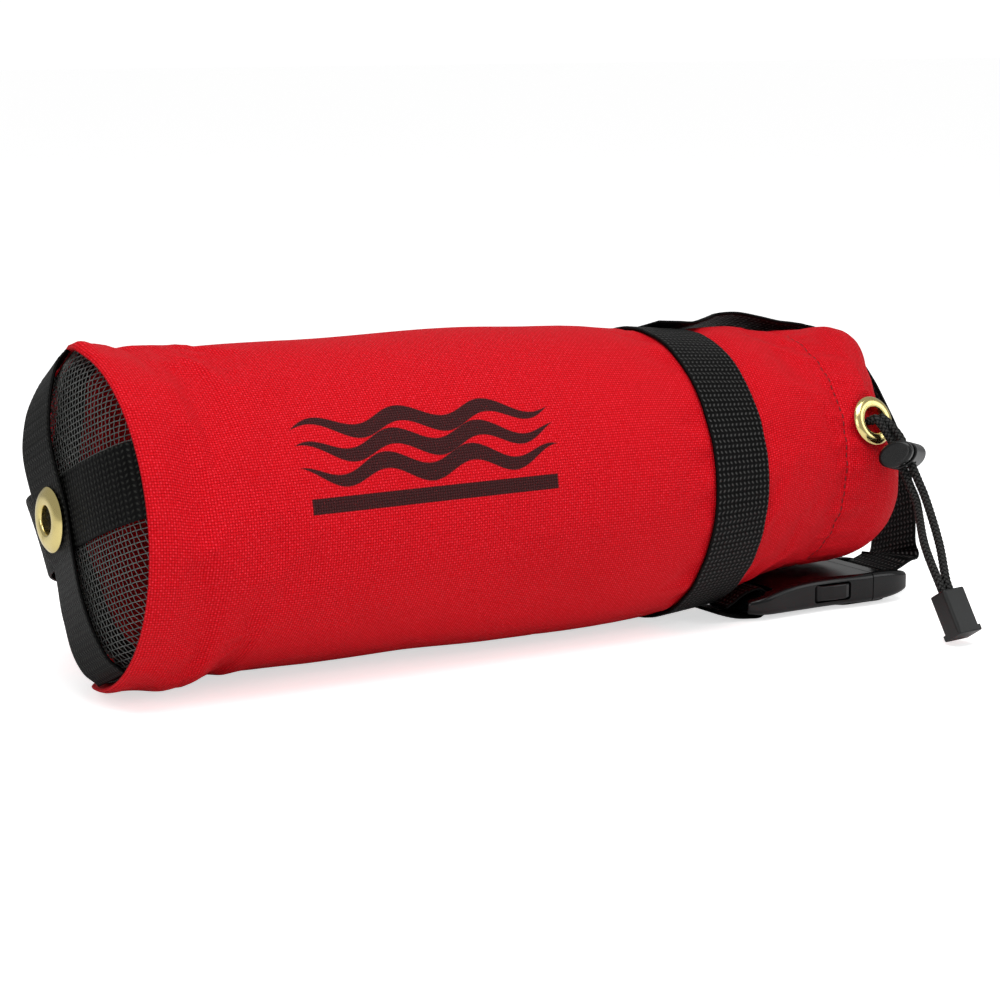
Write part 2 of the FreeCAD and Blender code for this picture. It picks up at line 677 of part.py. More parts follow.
def throw_line():
    points = []
    start_angle = 0.0
    for r0, r1, x0, x1, turns in WINDINGS:
        count = int(round(turns * points_per_turn))
        for i in range(count):
            share = i / float(count)
            angle = start_angle + 2 * math.pi * turns * share
            r = r0 + (r1 - r0) * share
            points.append(Vec(x0 + (x1 - x0) * share, r * math.cos(angle),
                              pack_z + r * math.sin(angle)))
        start_angle += 2 * math.pi * turns
    points += [Vec(*point) for point in LINE_END]
    return pipe(points, headings(points), line_d)


save("throw_line", throw_line())
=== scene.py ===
"""A red throw bag: a stuffed cloth tube with a floating line packed inside.

It lies along X. The mesh end is at low X and the drawn mouth at high X, Z is up, and the
camera looks from the -Y side. Shapes are laid out in millimetres in the rim frame, whose
x = 0 is the mesh end's sewn rim; row() takes them to metres in the row frame of the CAD
pieces. The angle phi runs round the bag from the top (+Z) towards -Y.
"""

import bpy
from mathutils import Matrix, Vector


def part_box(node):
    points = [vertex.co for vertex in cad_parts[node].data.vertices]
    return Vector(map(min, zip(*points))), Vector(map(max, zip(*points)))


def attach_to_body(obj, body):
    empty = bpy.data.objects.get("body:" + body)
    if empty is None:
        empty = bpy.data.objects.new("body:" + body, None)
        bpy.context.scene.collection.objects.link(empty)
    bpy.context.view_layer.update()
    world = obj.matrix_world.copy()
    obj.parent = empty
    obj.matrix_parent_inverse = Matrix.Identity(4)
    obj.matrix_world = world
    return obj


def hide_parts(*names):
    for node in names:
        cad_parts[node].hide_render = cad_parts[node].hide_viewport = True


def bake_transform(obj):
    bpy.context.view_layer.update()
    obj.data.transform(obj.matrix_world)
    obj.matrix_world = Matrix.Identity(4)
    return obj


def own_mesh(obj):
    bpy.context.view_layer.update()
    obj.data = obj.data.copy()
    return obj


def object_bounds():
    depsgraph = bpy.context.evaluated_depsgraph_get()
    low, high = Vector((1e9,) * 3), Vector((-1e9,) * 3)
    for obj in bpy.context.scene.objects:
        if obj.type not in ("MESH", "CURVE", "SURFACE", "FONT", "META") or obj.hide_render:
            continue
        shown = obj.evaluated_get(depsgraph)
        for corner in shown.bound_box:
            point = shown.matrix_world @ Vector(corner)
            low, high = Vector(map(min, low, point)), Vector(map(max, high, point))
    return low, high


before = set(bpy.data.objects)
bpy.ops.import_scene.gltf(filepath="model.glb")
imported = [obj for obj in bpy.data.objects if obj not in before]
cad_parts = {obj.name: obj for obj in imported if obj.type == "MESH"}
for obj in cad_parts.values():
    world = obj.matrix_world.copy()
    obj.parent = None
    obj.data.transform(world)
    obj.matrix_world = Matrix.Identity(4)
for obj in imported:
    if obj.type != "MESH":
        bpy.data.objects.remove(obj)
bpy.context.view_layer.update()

import math

import bpy
import numpy as np
from mathutils import Matrix, Vector

scene = bpy.context.scene

MM = 0.001
TURN = 2 * math.pi
GIRTH_START = 222.4                      # the girth strap's low-X edge in the rim frame
ROW_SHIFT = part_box("girth_strap")[0][0] * 1000.0 - GIRTH_START
X_AXIS = np.array([1.0, 0, 0])
Y_AXIS = np.array([0, 1.0, 0])

# woven webbing, mm
WEB_ROW = 1.95                           # length of one woven row
WEB_COL = 1.95                           # width of one woven cell
WEB_WIDTH = 25.4
WEB_ORIGIN = 300.0                       # keeps the cross coordinate of the weave positive
WEB_STEP = 0.65                          # mesh step along a ribbon
WEB_EDGE = 0.55                          # width of the rounded edge

# cords, mm
CORD_D, CORD_CARRIERS, CORD_PITCH = 3.4, 8, 7.2
LINE_D, LINE_CARRIERS, LINE_PITCH = 9.5, 12, 26.0

# eyelet at the mouth: distance along the bag, and degrees above the -Y direction
EYELET_X, EYELET_RISE = 303.0, 20


# ------------------------------------------------------------------ frames and curves
def row(points):
    """rim-frame millimetres to row-frame metres, for an (..., 3) array."""
    points = np.array(points, float)
    points[..., 0] += ROW_SHIFT
    return points * MM


def row_tuple(point):
    return tuple(Vector(row(point)))


def unit(vec):
    vec = np.asarray(vec, float)
    return vec / np.maximum(np.linalg.norm(vec, axis=-1, keepdims=True), 1e-12)


def smooth(start, end, value):
    """smoothstep from 0 at start to 1 at end."""
    t = np.clip((np.asarray(value, float) - start) / (end - start), 0, 1)
    return t * t * (3 - 2 * t)


def bell(value, centre, width):
    return np.exp(-((np.asarray(value, float) - centre) / width) ** 2)


def pchip(stations):
    """shape-preserving cubic through (x, y) stations."""
    xs, ys = np.array(stations, float).T
    gap = np.diff(xs)
    slope = np.diff(ys) / gap
    grad = np.zeros(len(xs))
    for i in range(1, len(xs) - 1):
        if slope[i - 1] * slope[i] > 0:
            w1, w2 = 2 * gap[i] + gap[i - 1], gap[i] + 2 * gap[i - 1]
            grad[i] = (w1 + w2) / (w1 / slope[i - 1] + w2 / slope[i])
    grad[0], grad[-1] = slope[0], slope[-1]

    def curve(x):
        x = np.clip(np.asarray(x, float), xs[0], xs[-1])
        i = np.clip(np.searchsorted(xs, x) - 1, 0, len(xs) - 2)
        t = (x - xs[i]) / gap[i]
        t2, t3 = t * t, t * t * t
        return ((2 * t3 - 3 * t2 + 1) * ys[i] + (t3 - 2 * t2 + t) * gap[i] * grad[i]
                + (-2 * t3 + 3 * t2) * ys[i + 1] + (t3 - t2) * gap[i] * grad[i + 1])
    return curve


def arc_length(points):
    """distance along a polyline (n,3) at each of its points."""
    return np.r_[0, np.cumsum(np.linalg.norm(np.diff(points, axis=0), axis=1))]


def sample(at, dist, values):
    """(n,3) values known at distances dist, read at the distances at."""
    return np.stack([np.interp(at, dist, values[:, k]) for k in range(3)], 1)


def catmull(points, step):
    """smooth curve through (n,3) points at about equal steps, and the distance along it."""
    points = np.asarray(points, float)
    padded = np.vstack([2 * points[0] - points[1], points, 2 * points[-1] - points[-2]])
    spans = []
    for i in range(1, len(padded) - 2):
        p0, p1, p2, p3 = span = padded[i - 1:i + 3]
        knots = [0.0]
        for a, b in zip(span, span[1:]):
            knots.append(knots[-1] + max(np.linalg.norm(b - a), 1e-6) ** 0.5)
        t = np.linspace(knots[1], knots[2], 24, endpoint=False)[:, None]

        def between(i, j, a, b):
            width = knots[j] - knots[i]
            return (knots[j] - t) / width * a + (t - knots[i]) / width * b
        first, middle, last = between(0, 1, p0, p1), between(1, 2, p1, p2), between(2, 3, p2, p3)
        spans.append(between(1, 2, between(0, 2, first, middle), between(1, 3, middle, last)))
    curve = np.vstack(spans + [points[-1:]])
    dist = arc_length(curve)
    count = max(2, int(round(dist[-1] / step)))
    at = np.linspace(0, dist[-1], count + 1)
    return sample(at, dist, curve), at


def carry(values, points, dist):
    """values given at points, read at the distances of the smooth curve through them."""
    source = arc_length(np.asarray(points, float))
    return sample(dist, source / source[-1] * dist[-1], np.asarray(values))


# ------------------------------------------------------------------ meshes
def make_object(name, verts, faces, loop_uv=None, mat=None):
    """verts in metres (row frame); faces is a sequence of vertex index rows."""
    mesh = bpy.data.meshes.new(name)
    verts = np.asarray(verts, np.float32)
    mesh.vertices.add(len(verts))
    mesh.vertices.foreach_set("co", verts.ravel())
    sizes = np.array([len(face) for face in faces], np.int32)
    corners = np.concatenate(list(faces)).astype(np.int32)
    mesh.loops.add(len(corners))
    mesh.loops.foreach_set("vertex_index", corners)
    mesh.polygons.add(len(sizes))
    starts = np.r_[0, np.cumsum(sizes)[:-1]].astype(np.int32)
    mesh.polygons.foreach_set("loop_start", starts)
    mesh.polygons.foreach_set("loop_total", sizes)
    mesh.polygons.foreach_set("use_smooth", np.full(len(sizes), True))
    if loop_uv is not None:
        layer = mesh.uv_layers.new(name="UVMap")
        layer.data.foreach_set("uv", np.asarray(loop_uv, np.float32).ravel())
    mesh.update(calc_edges=True)
    mesh.validate()
    ob = bpy.data.objects.new(name, mesh)
    scene.collection.objects.link(ob)
    if mat is not None:
        mesh.materials.append(mat)
    return ob


def grid_faces(rows, cols, close_rows, close_cols):
    """quads of a grid of rows x cols points, and each corner's (i, j) before wrapping."""
    i, j = np.meshgrid(np.arange(rows if close_rows else rows - 1),
                       np.arange(cols if close_cols else cols - 1), indexing="ij")
    i, j = i.ravel(), j.ravel()
    corner_i = np.stack([i, i + 1, i + 1, i], 1)
    corner_j = np.stack([j, j, j + 1, j + 1], 1)
    return (corner_i % rows) * cols + (corner_j % cols), corner_i, corner_j


def grid_object(name, points, mat, u, v, close_rows=False, close_cols=False, flip=False,
                caps=False):
    """(rows, cols, 3) rim-frame mm. u and v broadcast to UV in metres, (rows + 1, cols + 1)."""
    rows, cols = points.shape[:2]
    faces, corner_i, corner_j = grid_faces(rows, cols, close_rows, close_cols)
    u, v = np.broadcast_arrays(u, v)
    uv = np.stack([u[corner_i, corner_j], v[corner_i, corner_j]], -1)
    if flip:
        faces, uv = faces[:, ::-1], uv[:, ::-1]
    uv = uv.reshape(-1, 2)
    if caps:                             # close the first and last row, which are rings
        ring = np.arange(cols)
        faces = [*faces, ring, ((rows - 1) * cols + ring)[::-1]]
        uv = np.vstack([uv, np.zeros((2 * cols, 2))])
    return make_object(name, row(points.reshape(-1, 3)), faces, uv, mat)


def sweep(centre, first, second, radius, angles):
    """rings of points round a centre line, in the plane of the first and second directions."""
    return centre[:, None, :] + np.asarray(radius)[..., None] * (
        np.cos(angles)[None, :, None] * first[:, None, :]
        + np.sin(angles)[None, :, None] * second[:, None, :])


def tubes_object(name, tubes, girth, mat):
    """many open tubes in one mesh: (rings, distance along) pairs; girth is v in mm per column."""
    verts, faces, uvs = [], [], []
    base = 0
    for rings, along in tubes:
        count, around = rings.shape[:2]
        quads, corner_i, corner_j = grid_faces(count, around, False, True)
        verts.append(rings.reshape(-1, 3))
        faces.append(quads + base)
        uv = np.stack([along[corner_i] * MM, girth[corner_j % around] * MM], -1)
        uvs.append(uv.reshape(-1, 2))
        base += count * around
    return make_object(name, row(np.vstack(verts)), np.vstack(faces), np.vstack(uvs), mat)


def frames_along(centre):
    """parallel-transport normal and binormal of a centre line (n,3)."""
    tangent = unit(np.gradient(centre, axis=0))
    normals = np.zeros_like(centre)
    ref = np.array([0, 0, 1.0]) if abs(tangent[0, 2]) < 0.9 else X_AXIS
    normal = unit(ref - tangent[0] * (ref @ tangent[0]))
    normals[0] = normal
    for i in range(1, len(centre)):
        normal = normal - tangent[i] * (normal @ tangent[i])
        normal = normal / np.linalg.norm(normal)
        normals[i] = normal
    return normals, np.cross(tangent, normals)


def braid_height(angle, dist, carriers, pitch):
    """height, 0 to 1, of a round braid's surface."""
    pairs = carriers / 2.0
    left = angle / TURN * pairs + dist / pitch * pairs
    right = angle / TURN * pairs - dist / pitch * pairs
    frac_l, frac_r = left - np.floor(left), right - np.floor(right)
    parity = (np.floor(left) + np.floor(right)) % 2
    high_l = np.sin(np.pi * frac_l) ** 0.7 * (0.55 + 0.45 * np.sin(np.pi * frac_r))
    high_r = np.sin(np.pi * frac_r) ** 0.7 * (0.55 + 0.45 * np.sin(np.pi * frac_l))
    return np.where(parity < 0.5, high_l, high_r)


def cord_object(name, points, mat, diameter=CORD_D, carriers=CORD_CARRIERS, pitch=CORD_PITCH,
                depth=0.34, step=0.24, around=40, round_ends=True):
    """braided cord through the points; depth is how far the braid is cut in."""
    centre, dist = catmull(points, step)
    normal, binormal = frames_along(centre)
    angle = np.linspace(0, TURN, around, endpoint=False)
    height = braid_height(angle[None, :], dist[:, None], carriers, pitch)
    radius = diameter / 2.0 - depth + depth * height
    if round_ends:
        to_end = np.minimum(dist, dist[-1] - dist)
        tip = np.clip(1 - to_end / (diameter * 0.3), 0, 1)
        radius = radius * np.sqrt(np.clip(1 - tip ** 2 * 0.75, 0.02, 1))[:, None]
    u = np.r_[dist, dist[-1]] * MM
    v = np.r_[angle, TURN] / TURN * (math.pi * diameter) * MM
    return grid_object(name, sweep(centre, normal, binormal, radius, angle), mat,
                       u[:, None], v[None, :], close_cols=True, caps=True)


def webbing_relief(along, across):
    """height of the raised cells of woven webbing (mm along and across)."""
    index = np.floor(along / WEB_ROW)
    in_row = along / WEB_ROW - index - 0.5
    slant = np.where(index % 2 < 0.5, 1.0, -1.0)
    column = across / WEB_COL + 0.22 * slant * in_row * 2
    return np.cos(np.pi * in_row) * (0.72 + 0.28 * np.cos(2 * np.pi * column))


def ribbon_object(name, edge_a, edge_b, normals, mat, thick=1.5, closed=False, relief=0.16,
                  cells=40, round_end=0.0):
    """webbing between two edge lines (n,3 mm); cells is the number of quads across a face."""
    if closed:
        edge_a, edge_b, normals = (np.vstack([q, q[:1]]) for q in (edge_a, edge_b, normals))
    dist = arc_length((edge_a + edge_b) / 2)
    length = dist[-1]
    if closed:                           # a whole, even number of woven rows
        steps = int(round(length / WEB_ROW / 2) * 2 * round(WEB_ROW / WEB_STEP))
    else:
        steps = int(round(length / WEB_STEP))
    at = np.linspace(0, length, steps + 1)
    edge_a, edge_b, normals = (sample(at, dist, q) for q in (edge_a, edge_b, normals))
    normals = unit(normals)
    weave = at                           # distance in the weave's own rows
    if closed:
        edge_a, edge_b, normals, at = (q[:-1] for q in (edge_a, edge_b, normals, at))
        row_count = length / WEB_ROW
        weave = at * (round(row_count / 2) * 2 / row_count)
    side = edge_b - edge_a
    width = np.linalg.norm(side, axis=1)
    side = side / width[:, None]
    narrow = np.ones(len(at))
    if round_end:
        tail = np.clip((round_end - (length - at)) / round_end, 0, 1)
        narrow = np.sqrt(np.clip(1 - tail ** 2 * 0.96, 0.02, 1))
    half = (width / 2)[:, None] * narrow[:, None]
    flat = half - WEB_EDGE

    def face_height(across):
        cell = relief * webbing_relief(weave[:, None], across + WEB_ORIGIN)
        return thick / 2 - relief + cell * smooth(0, 1.2, flat - np.abs(across) + 0.4)

    # section: outer face, edge b, inner face, edge a
    face = np.linspace(-1, 1, cells + 1)[None, :] * flat
    bend = np.array([math.pi * k / 4 for k in (1, 2, 3)])[None, :]
    edge = flat + WEB_EDGE * np.sin(bend)
    edge_height = (thick / 2 - relief * 0.5) * np.cos(bend) + 0 * half
    across = np.concatenate([face, edge, -face, -edge], 1)
    height = np.concatenate([face_height(face), edge_height,
                             -face_height(-face), -edge_height], 1)
    points = ((edge_a + edge_b) / 2)[:, None, :] + across[..., None] * side[:, None, :]
    points = points + height[..., None] * normals[:, None, :]
    v = np.concatenate([across, across[:, :1]], 1)
    v = np.vstack([v, v[:1] if closed else v[-1:]])
    u = np.r_[weave, weave[-1] + (weave[1] - weave[0] if closed else 0)]
    return grid_object(name, points, mat, u[:, None] * MM, (v + WEB_ORIGIN) * MM,
                       close_rows=closed, close_cols=True, caps=not closed)


def ribbon_path(name, points, sides, mat, width=WEB_WIDTH, facing=None, keep=None, **ribbon):
    """ribbon along points; sides are its cross directions.

    facing is a direction for its outer face; keep is (point, after): only the part before or
    after that point is built.
    """
    centre, dist = catmull(points, 0.4)
    side = carry(sides, points, dist)
    tangent = unit(np.gradient(centre, axis=0))
    side = unit(side - tangent * (side * tangent).sum(1, keepdims=True))
    normal = unit(np.cross(tangent, side))
    if facing is not None and normal[len(normal) // 2] @ np.array(facing) < 0:
        normal = -normal
    if keep is not None:
        point, after = keep
        k = int(np.argmin(((centre - point) ** 2).sum(1)))
        part = slice(k, None) if after else slice(0, k + 1)
        centre, side, normal = centre[part], side[part], normal[part]
    half = side * (width / 2)
    return ribbon_object(name, centre - half, centre + half, normal, mat, **ribbon)


def attach(ob, carrier, slot, *replaced):
    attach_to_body(ob, carrier)
    if replaced:
        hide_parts(*replaced)


# ------------------------------------------------------------------ node materials
class Material:
    """a Principled material and the nodes that feed it."""

    def __init__(self, name):
        self.material = bpy.data.materials.new(name)
        self.material.use_nodes = True
        self.tree = self.material.node_tree
        self.tree.nodes.clear()
        output = self.node("ShaderNodeOutputMaterial")
        self.shader = self.node("ShaderNodeBsdfPrincipled")
        self.tree.links.new(self.shader.outputs[0], output.inputs[0])

    def node(self, kind, **props):
        node = self.tree.nodes.new(kind)
        for key, value in props.items():
            setattr(node, key, value)
        return node

    def put(self, socket, value):
        if isinstance(value, bpy.types.NodeSocket):
            self.tree.links.new(value, socket)
        else:
            socket.default_value = value

    def math(self, op, a, b=0.0):
        node = self.node("ShaderNodeMath", operation=op)
        self.put(node.inputs[0], a)
        self.put(node.inputs[1], b)
        return node.outputs[0]

    def add(self, a, b):
        return self.math("ADD", a, b)

    def sub(self, a, b):
        return self.math("SUBTRACT", a, b)

    def mul(self, a, b):
        return self.math("MULTIPLY", a, b)

    def sin(self, a):
        return self.math("SINE", a)

    def cos(self, a):
        return self.math("COSINE", a)

    def odd(self, whole):
        """1 where a whole number is odd."""
        return self.math("GREATER_THAN", self.math("PINGPONG", whole, 1.0), 0.5)

    def ramp(self, value, low, high):
        """smoothstep from 0 at low to 1 at high."""
        node = self.node("ShaderNodeMapRange", interpolation_type="SMOOTHSTEP")
        self.put(node.inputs["Value"], value)
        node.inputs["From Min"].default_value = low
        node.inputs["From Max"].default_value = high
        node.inputs["To Min"].default_value = 0.0
        node.inputs["To Max"].default_value = 1.0
        return node.outputs[0]

    def mix(self, factor, a, b):
        """mix of two colours."""
        node = self.node("ShaderNodeMix", data_type="RGBA")
        self.put(node.inputs["Factor"], factor)
        self.put(node.inputs[6], a)
        self.put(node.inputs[7], b)
        return node.outputs[2]

    def mixf(self, factor, a, b):
        """mix of two numbers."""
        node = self.node("ShaderNodeMix", data_type="FLOAT")
        self.put(node.inputs[0], factor)
        self.put(node.inputs[2], a)
        self.put(node.inputs[3], b)
        return node.outputs[0]

    def noise(self, coords, scale, detail=2.0, rough=0.5):
        node = self.node("ShaderNodeTexNoise")
        self.put(node.inputs["Vector"], coords)
        node.inputs["Scale"].default_value = scale
        node.inputs["Detail"].default_value = detail
        node.inputs["Roughness"].default_value = rough
        return node.outputs["Fac"]

    def object_coords(self):
        return self.node("ShaderNodeTexCoord").outputs["Object"]

    def coords(self):
        """u, v, the UV vector and object coordinates."""
        source = self.node("ShaderNodeTexCoord")
        split = self.node("ShaderNodeSeparateXYZ")
        self.put(split.inputs[0], source.outputs["UV"])
        return *split.outputs[:2], source.outputs["UV"], source.outputs["Object"]

    def bump(self, height, distance, strength=1.0):
        node = self.node("ShaderNodeBump")
        node.inputs["Strength"].default_value = strength
        node.inputs["Distance"].default_value = distance
        self.put(node.inputs["Height"], height)
        return node.outputs[0]

    def surface(self, **sockets):
        """set or link the shader's inputs; underscores stand for spaces."""
        for key, value in sockets.items():
            self.put(self.shader.inputs[key.replace("_", " ")], value)
        return self.material


def rgb(red, green, blue):
    return (red, green, blue, 1.0)


def grey(level):
    return rgb(level, level, level)


def srgb(*levels):
    """0-255 sRGB levels to linear colour."""
    def linear(c):
        return c / 12.92 if c <= 0.04045 else ((c + 0.055) / 1.055) ** 2.4
    return rgb(*(linear(level / 255) for level in levels))


def wave_mark_ink(mat, u, v):
    """printed mark: three stacked waves over a plain line; lengths in metres."""
    centre_u, centre_v = 0.0672, 0.1115
    half_length = 0.050                  # along the bag
    wave_length, wave_height, wave_half = 0.0333, 0.0028, 0.0031
    waves = ((-0.0150, 0.0), (-0.0066, 0.9), (0.0018, 1.8))      # offset in u, phase
    bar_u, bar_half, bar_half_length = 0.0122, 0.0026, 0.048

    def within(soft, excess):
        """1 inside an edge, 0 outside; soft is half the edge's blur."""
        return mat.sub(1.0, mat.ramp(excess, low=-soft, high=soft))

    du, dv = mat.sub(u, centre_u), mat.sub(v, centre_v)
    reach = mat.math("ABSOLUTE", mat.math("DIVIDE", dv, half_length))
    taper = mat.math("MAXIMUM", mat.sub(1.0, mat.math("POWER", reach, 3.0)), 0.0)
    ink = None
    for offset, phase in waves:
        wave = mat.sin(mat.add(mat.mul(dv, TURN / wave_length), phase))
        wave = mat.mul(wave, wave_height)
        away = mat.math("ABSOLUTE", mat.sub(mat.sub(du, offset), wave))
        one = within(0.00025, mat.sub(away, mat.mul(taper, wave_half)))
        one = mat.mul(one, mat.math("LESS_THAN", mat.math("ABSOLUTE", dv), half_length))
        ink = one if ink is None else mat.math("MAXIMUM", ink, one)
    bar = within(0.00025, mat.sub(mat.math("ABSOLUTE", mat.sub(du, bar_u)), bar_half))
    bar_end = within(0.0003, mat.sub(mat.math("ABSOLUTE", dv), bar_half_length))
    return mat.math("MAXIMUM", ink, mat.mul(bar, bar_end))


def cloth_material(name, base, dark, light, printed):
    """plain weave; u is the arc round the bag from the top, v the distance along it (m)."""
    mat = Material(name)
    u, v, uv, obj = mat.coords()
    yarn = 0.00095                       # yarn pitch
    yarn_u, yarn_v = mat.math("DIVIDE", u, yarn), mat.math("DIVIDE", v, yarn)
    warp_on_top = mat.odd(mat.add(mat.math("FLOOR", yarn_u), mat.math("FLOOR", yarn_v)))
    local_u = mat.sub(mat.math("FRACT", yarn_u), 0.5)
    local_v = mat.sub(mat.math("FRACT", yarn_v), 0.5)
    # each yarn is crowned across its width and dips where it goes under
    crown_u = mat.cos(mat.mul(local_u, math.pi))
    crown_v = mat.cos(mat.mul(local_v, math.pi))
    warp = mat.mul(mat.math("POWER", crown_u, 0.6), mat.add(0.35, mat.mul(crown_v, 0.65)))
    weft = mat.mul(mat.math("POWER", crown_v, 0.6), mat.add(0.35, mat.mul(crown_u, 0.65)))
    height = mat.mixf(warp_on_top, weft, warp)
    # five filaments in each yarn
    filament_u = mat.sin(mat.mul(yarn_u, TURN * 5))
    filament_v = mat.sin(mat.mul(yarn_v, TURN * 5))
    filament = mat.mixf(warp_on_top, filament_v, filament_u)
    slub = mat.noise(uv, scale=900.0)
    patches = mat.noise(obj, scale=26.0, detail=3.0)
    fine = mat.noise(uv, scale=5200.0)
    uneven = mat.noise(uv, scale=700.0, rough=0.6)
    # painted shade in the weave's gaps, painted highlight on the yarn crests, lighter slubs and
    # darker broad patches
    gap = mat.mul(mat.sub(1.0, mat.ramp(height, low=0.08, high=0.50)), 0.85)
    color = mat.mix(gap, base, dark)
    # painted highlight: the yarn crests are lightened, more on the warp
    crest = mat.mul(mat.ramp(height, low=0.58, high=0.98), mat.mixf(warp_on_top, 0.18, 0.95))
    color = mat.mix(mat.mul(crest, mat.ramp(uneven, low=0.30, high=0.62)), color, light)
    color = mat.mix(mat.mul(mat.ramp(slub, low=0.50, high=0.9), 0.45), color, light)
    color = mat.mix(mat.mul(mat.ramp(patches, low=0.5, high=0.75), 0.10), color, dark)
    rough = mat.add(0.62, mat.mul(fine, 0.16))
    relief = mat.add(mat.add(height, mat.mul(filament, 0.045)), mat.mul(slub, 0.35))
    if printed:
        ink = wave_mark_ink(mat, u, v)
        # the ink misses specks, mostly low in the weave
        specks = mat.ramp(mat.noise(uv, scale=2600.0, detail=3.0, rough=0.6),
                          low=0.60, high=0.74)
        missed = mat.mul(specks, mat.sub(1.0, mat.mul(height, 0.6)))
        cover = mat.mul(ink, mat.sub(1.0, missed))
        # painted highlight: the ink is lighter on the weave's crests
        ink_color = mat.mix(mat.ramp(height, low=0.2, high=0.9),
                            srgb(20, 14, 15), srgb(40, 33, 34))
        color = mat.mix(mat.mul(cover, 0.96), color, ink_color)
        rough = mat.mixf(ink, rough, 0.5)
        mat.surface(Sheen_Weight=0.015, Sheen_Roughness=0.4, Sheen_Tint=rgb(1.0, 0.55, 0.55))
    return mat.surface(
        Normal=mat.bump(relief, distance=0.00022),
        Base_Color=color,
        Roughness=mat.sub(rough, 0.12),
        Specular_IOR_Level=0.06)


def webbing_material(name, crest=(0.070, 0.070, 0.068), lift=1.0):
    """crest is the linear colour of the raised cells, a painted highlight; lift scales all
    colours.
    """
    mat = Material(name)
    u, v, uv, obj = mat.coords()
    along, column = mat.math("DIVIDE", u, WEB_ROW * MM), mat.math("DIVIDE", v, WEB_COL * MM)
    index = mat.math("FLOOR", along)
    in_row = mat.sub(mat.math("FRACT", along), 0.5)
    slant = mat.sub(mat.mul(mat.odd(index), -2.0), -1.0)
    column = mat.add(column, mat.mul(mat.mul(slant, in_row), 0.55))
    cell = mat.math("MAXIMUM", mat.cos(mat.mul(in_row, math.pi)), 0.0)
    cell = mat.mul(cell, mat.add(0.55, mat.mul(mat.cos(mat.mul(column, TURN)), 0.45)))
    # four plies in each cell, twisted with the slant
    ply = mat.add(mat.mul(column, 4.0), mat.mul(mat.mul(slant, in_row), 2.0))
    ply = mat.add(0.5, mat.mul(mat.cos(mat.mul(ply, TURN)), 0.5))
    filament = mat.noise(uv, scale=7000.0)
    height = mat.add(mat.add(cell, mat.mul(ply, 0.22)), mat.mul(filament, 0.12))
    fuzz = mat.noise(obj, scale=60.0, detail=3.0)
    # painted shade and highlight: the low weave is near black and the raised cells are lightened
    # to crest
    color = mat.mix(mat.ramp(height, low=0.68, high=1.16),
                    grey(0.0004 * lift), rgb(*(c * lift for c in crest)))
    color = mat.mix(mat.mul(mat.ramp(fuzz, low=0.5, high=0.8), 0.10), color, grey(0.02 * lift))
    return mat.surface(
        Normal=mat.bump(height, distance=0.00028, strength=0.9),
        Base_Color=color,
        Roughness=mat.add(0.34, mat.mul(filament, 0.22)),
        Specular_IOR_Level=0.07)


def cord_material(name, groove, crest, diameter, carriers, pitch):
    """round braid; groove and crest are linear colours, sizes are in mm. The grooves are darkened
    to a quarter of groove, painted shade; on the black cord crest is a painted highlight.
    """
    mat = Material(name)
    u, v, uv, _ = mat.coords()
    pairs = carriers / 2.0
    around = mat.mul(v, pairs / (math.pi * diameter * MM))
    along = mat.mul(u, pairs / (pitch * MM))
    left, right = mat.add(around, along), mat.sub(around, along)
    frac_l, frac_r = mat.math("FRACT", left), mat.math("FRACT", right)
    right_on_top = mat.odd(mat.add(mat.math("FLOOR", left), mat.math("FLOOR", right)))
    height = mat.mixf(right_on_top, mat.sin(mat.mul(frac_l, math.pi)),
                      mat.sin(mat.mul(frac_r, math.pi)))
    # four yarns in each strand
    yarn = mat.mixf(right_on_top, mat.sin(mat.mul(frac_l, TURN * 4)),
                    mat.sin(mat.mul(frac_r, TURN * 4)))
    fine = mat.noise(uv, scale=8000.0)
    relief = mat.add(mat.add(height, mat.mul(yarn, 0.10)), mat.mul(fine, 0.1))
    # painted shade in the grooves, and on the black cord a painted highlight on the crests
    color = mat.mix(mat.ramp(height, low=0.35, high=0.98),
                    rgb(*(c * 0.25 for c in groove)), rgb(*crest))
    return mat.surface(
        Normal=mat.bump(relief, distance=0.00012, strength=0.8),
        Base_Color=color,
        Roughness=mat.add(0.40, mat.mul(fine, 0.2)),
        Specular_IOR_Level=0.08)


def mesh_material(name):
    mat = Material(name)
    obj = mat.object_coords()
    grain = mat.noise(obj, scale=2500.0)
    patches = mat.noise(obj, scale=60.0)
    # the black vinyl strands are painted mid grey and lighter where the grain noise is high:
    # painted highlight and reflection of the studio
    color = mat.mix(mat.ramp(grain, low=0.35, high=0.8), srgb(52, 54, 52), srgb(104, 107, 104))
    color = mat.mix(mat.mul(mat.ramp(patches, low=0.4, high=0.7), 0.3), color, srgb(24, 25, 25))
    return mat.surface(
        Normal=mat.bump(grain, distance=0.00008, strength=0.6),
        Base_Color=color,
        Roughness=mat.add(0.30, mat.mul(grain, 0.15)),
        Specular_IOR_Level=0.6, Coat_Weight=0.35, Coat_Roughness=0.22)


def brass_material(name):
    mat = Material(name)
    obj = mat.object_coords()
    dents = mat.noise(obj, scale=420.0, detail=3.0)
    grain = mat.noise(obj, scale=2200.0, detail=3.0, rough=0.6)
    tarnish = mat.ramp(mat.noise(obj, scale=150.0, detail=4.0, rough=0.6), low=0.52, high=0.78)
    relief = mat.add(mat.mul(dents, 0.6), mat.mul(grain, 0.25))
    return mat.surface(
        Normal=mat.bump(relief, distance=0.00004, strength=0.35),
        Base_Color=mat.mix(mat.mul(tarnish, 0.5), srgb(226, 208, 140), srgb(182, 158, 92)),
        Metallic=1.0,
        Roughness=mat.add(0.17, mat.add(mat.mul(tarnish, 0.14), mat.mul(grain, 0.08))))


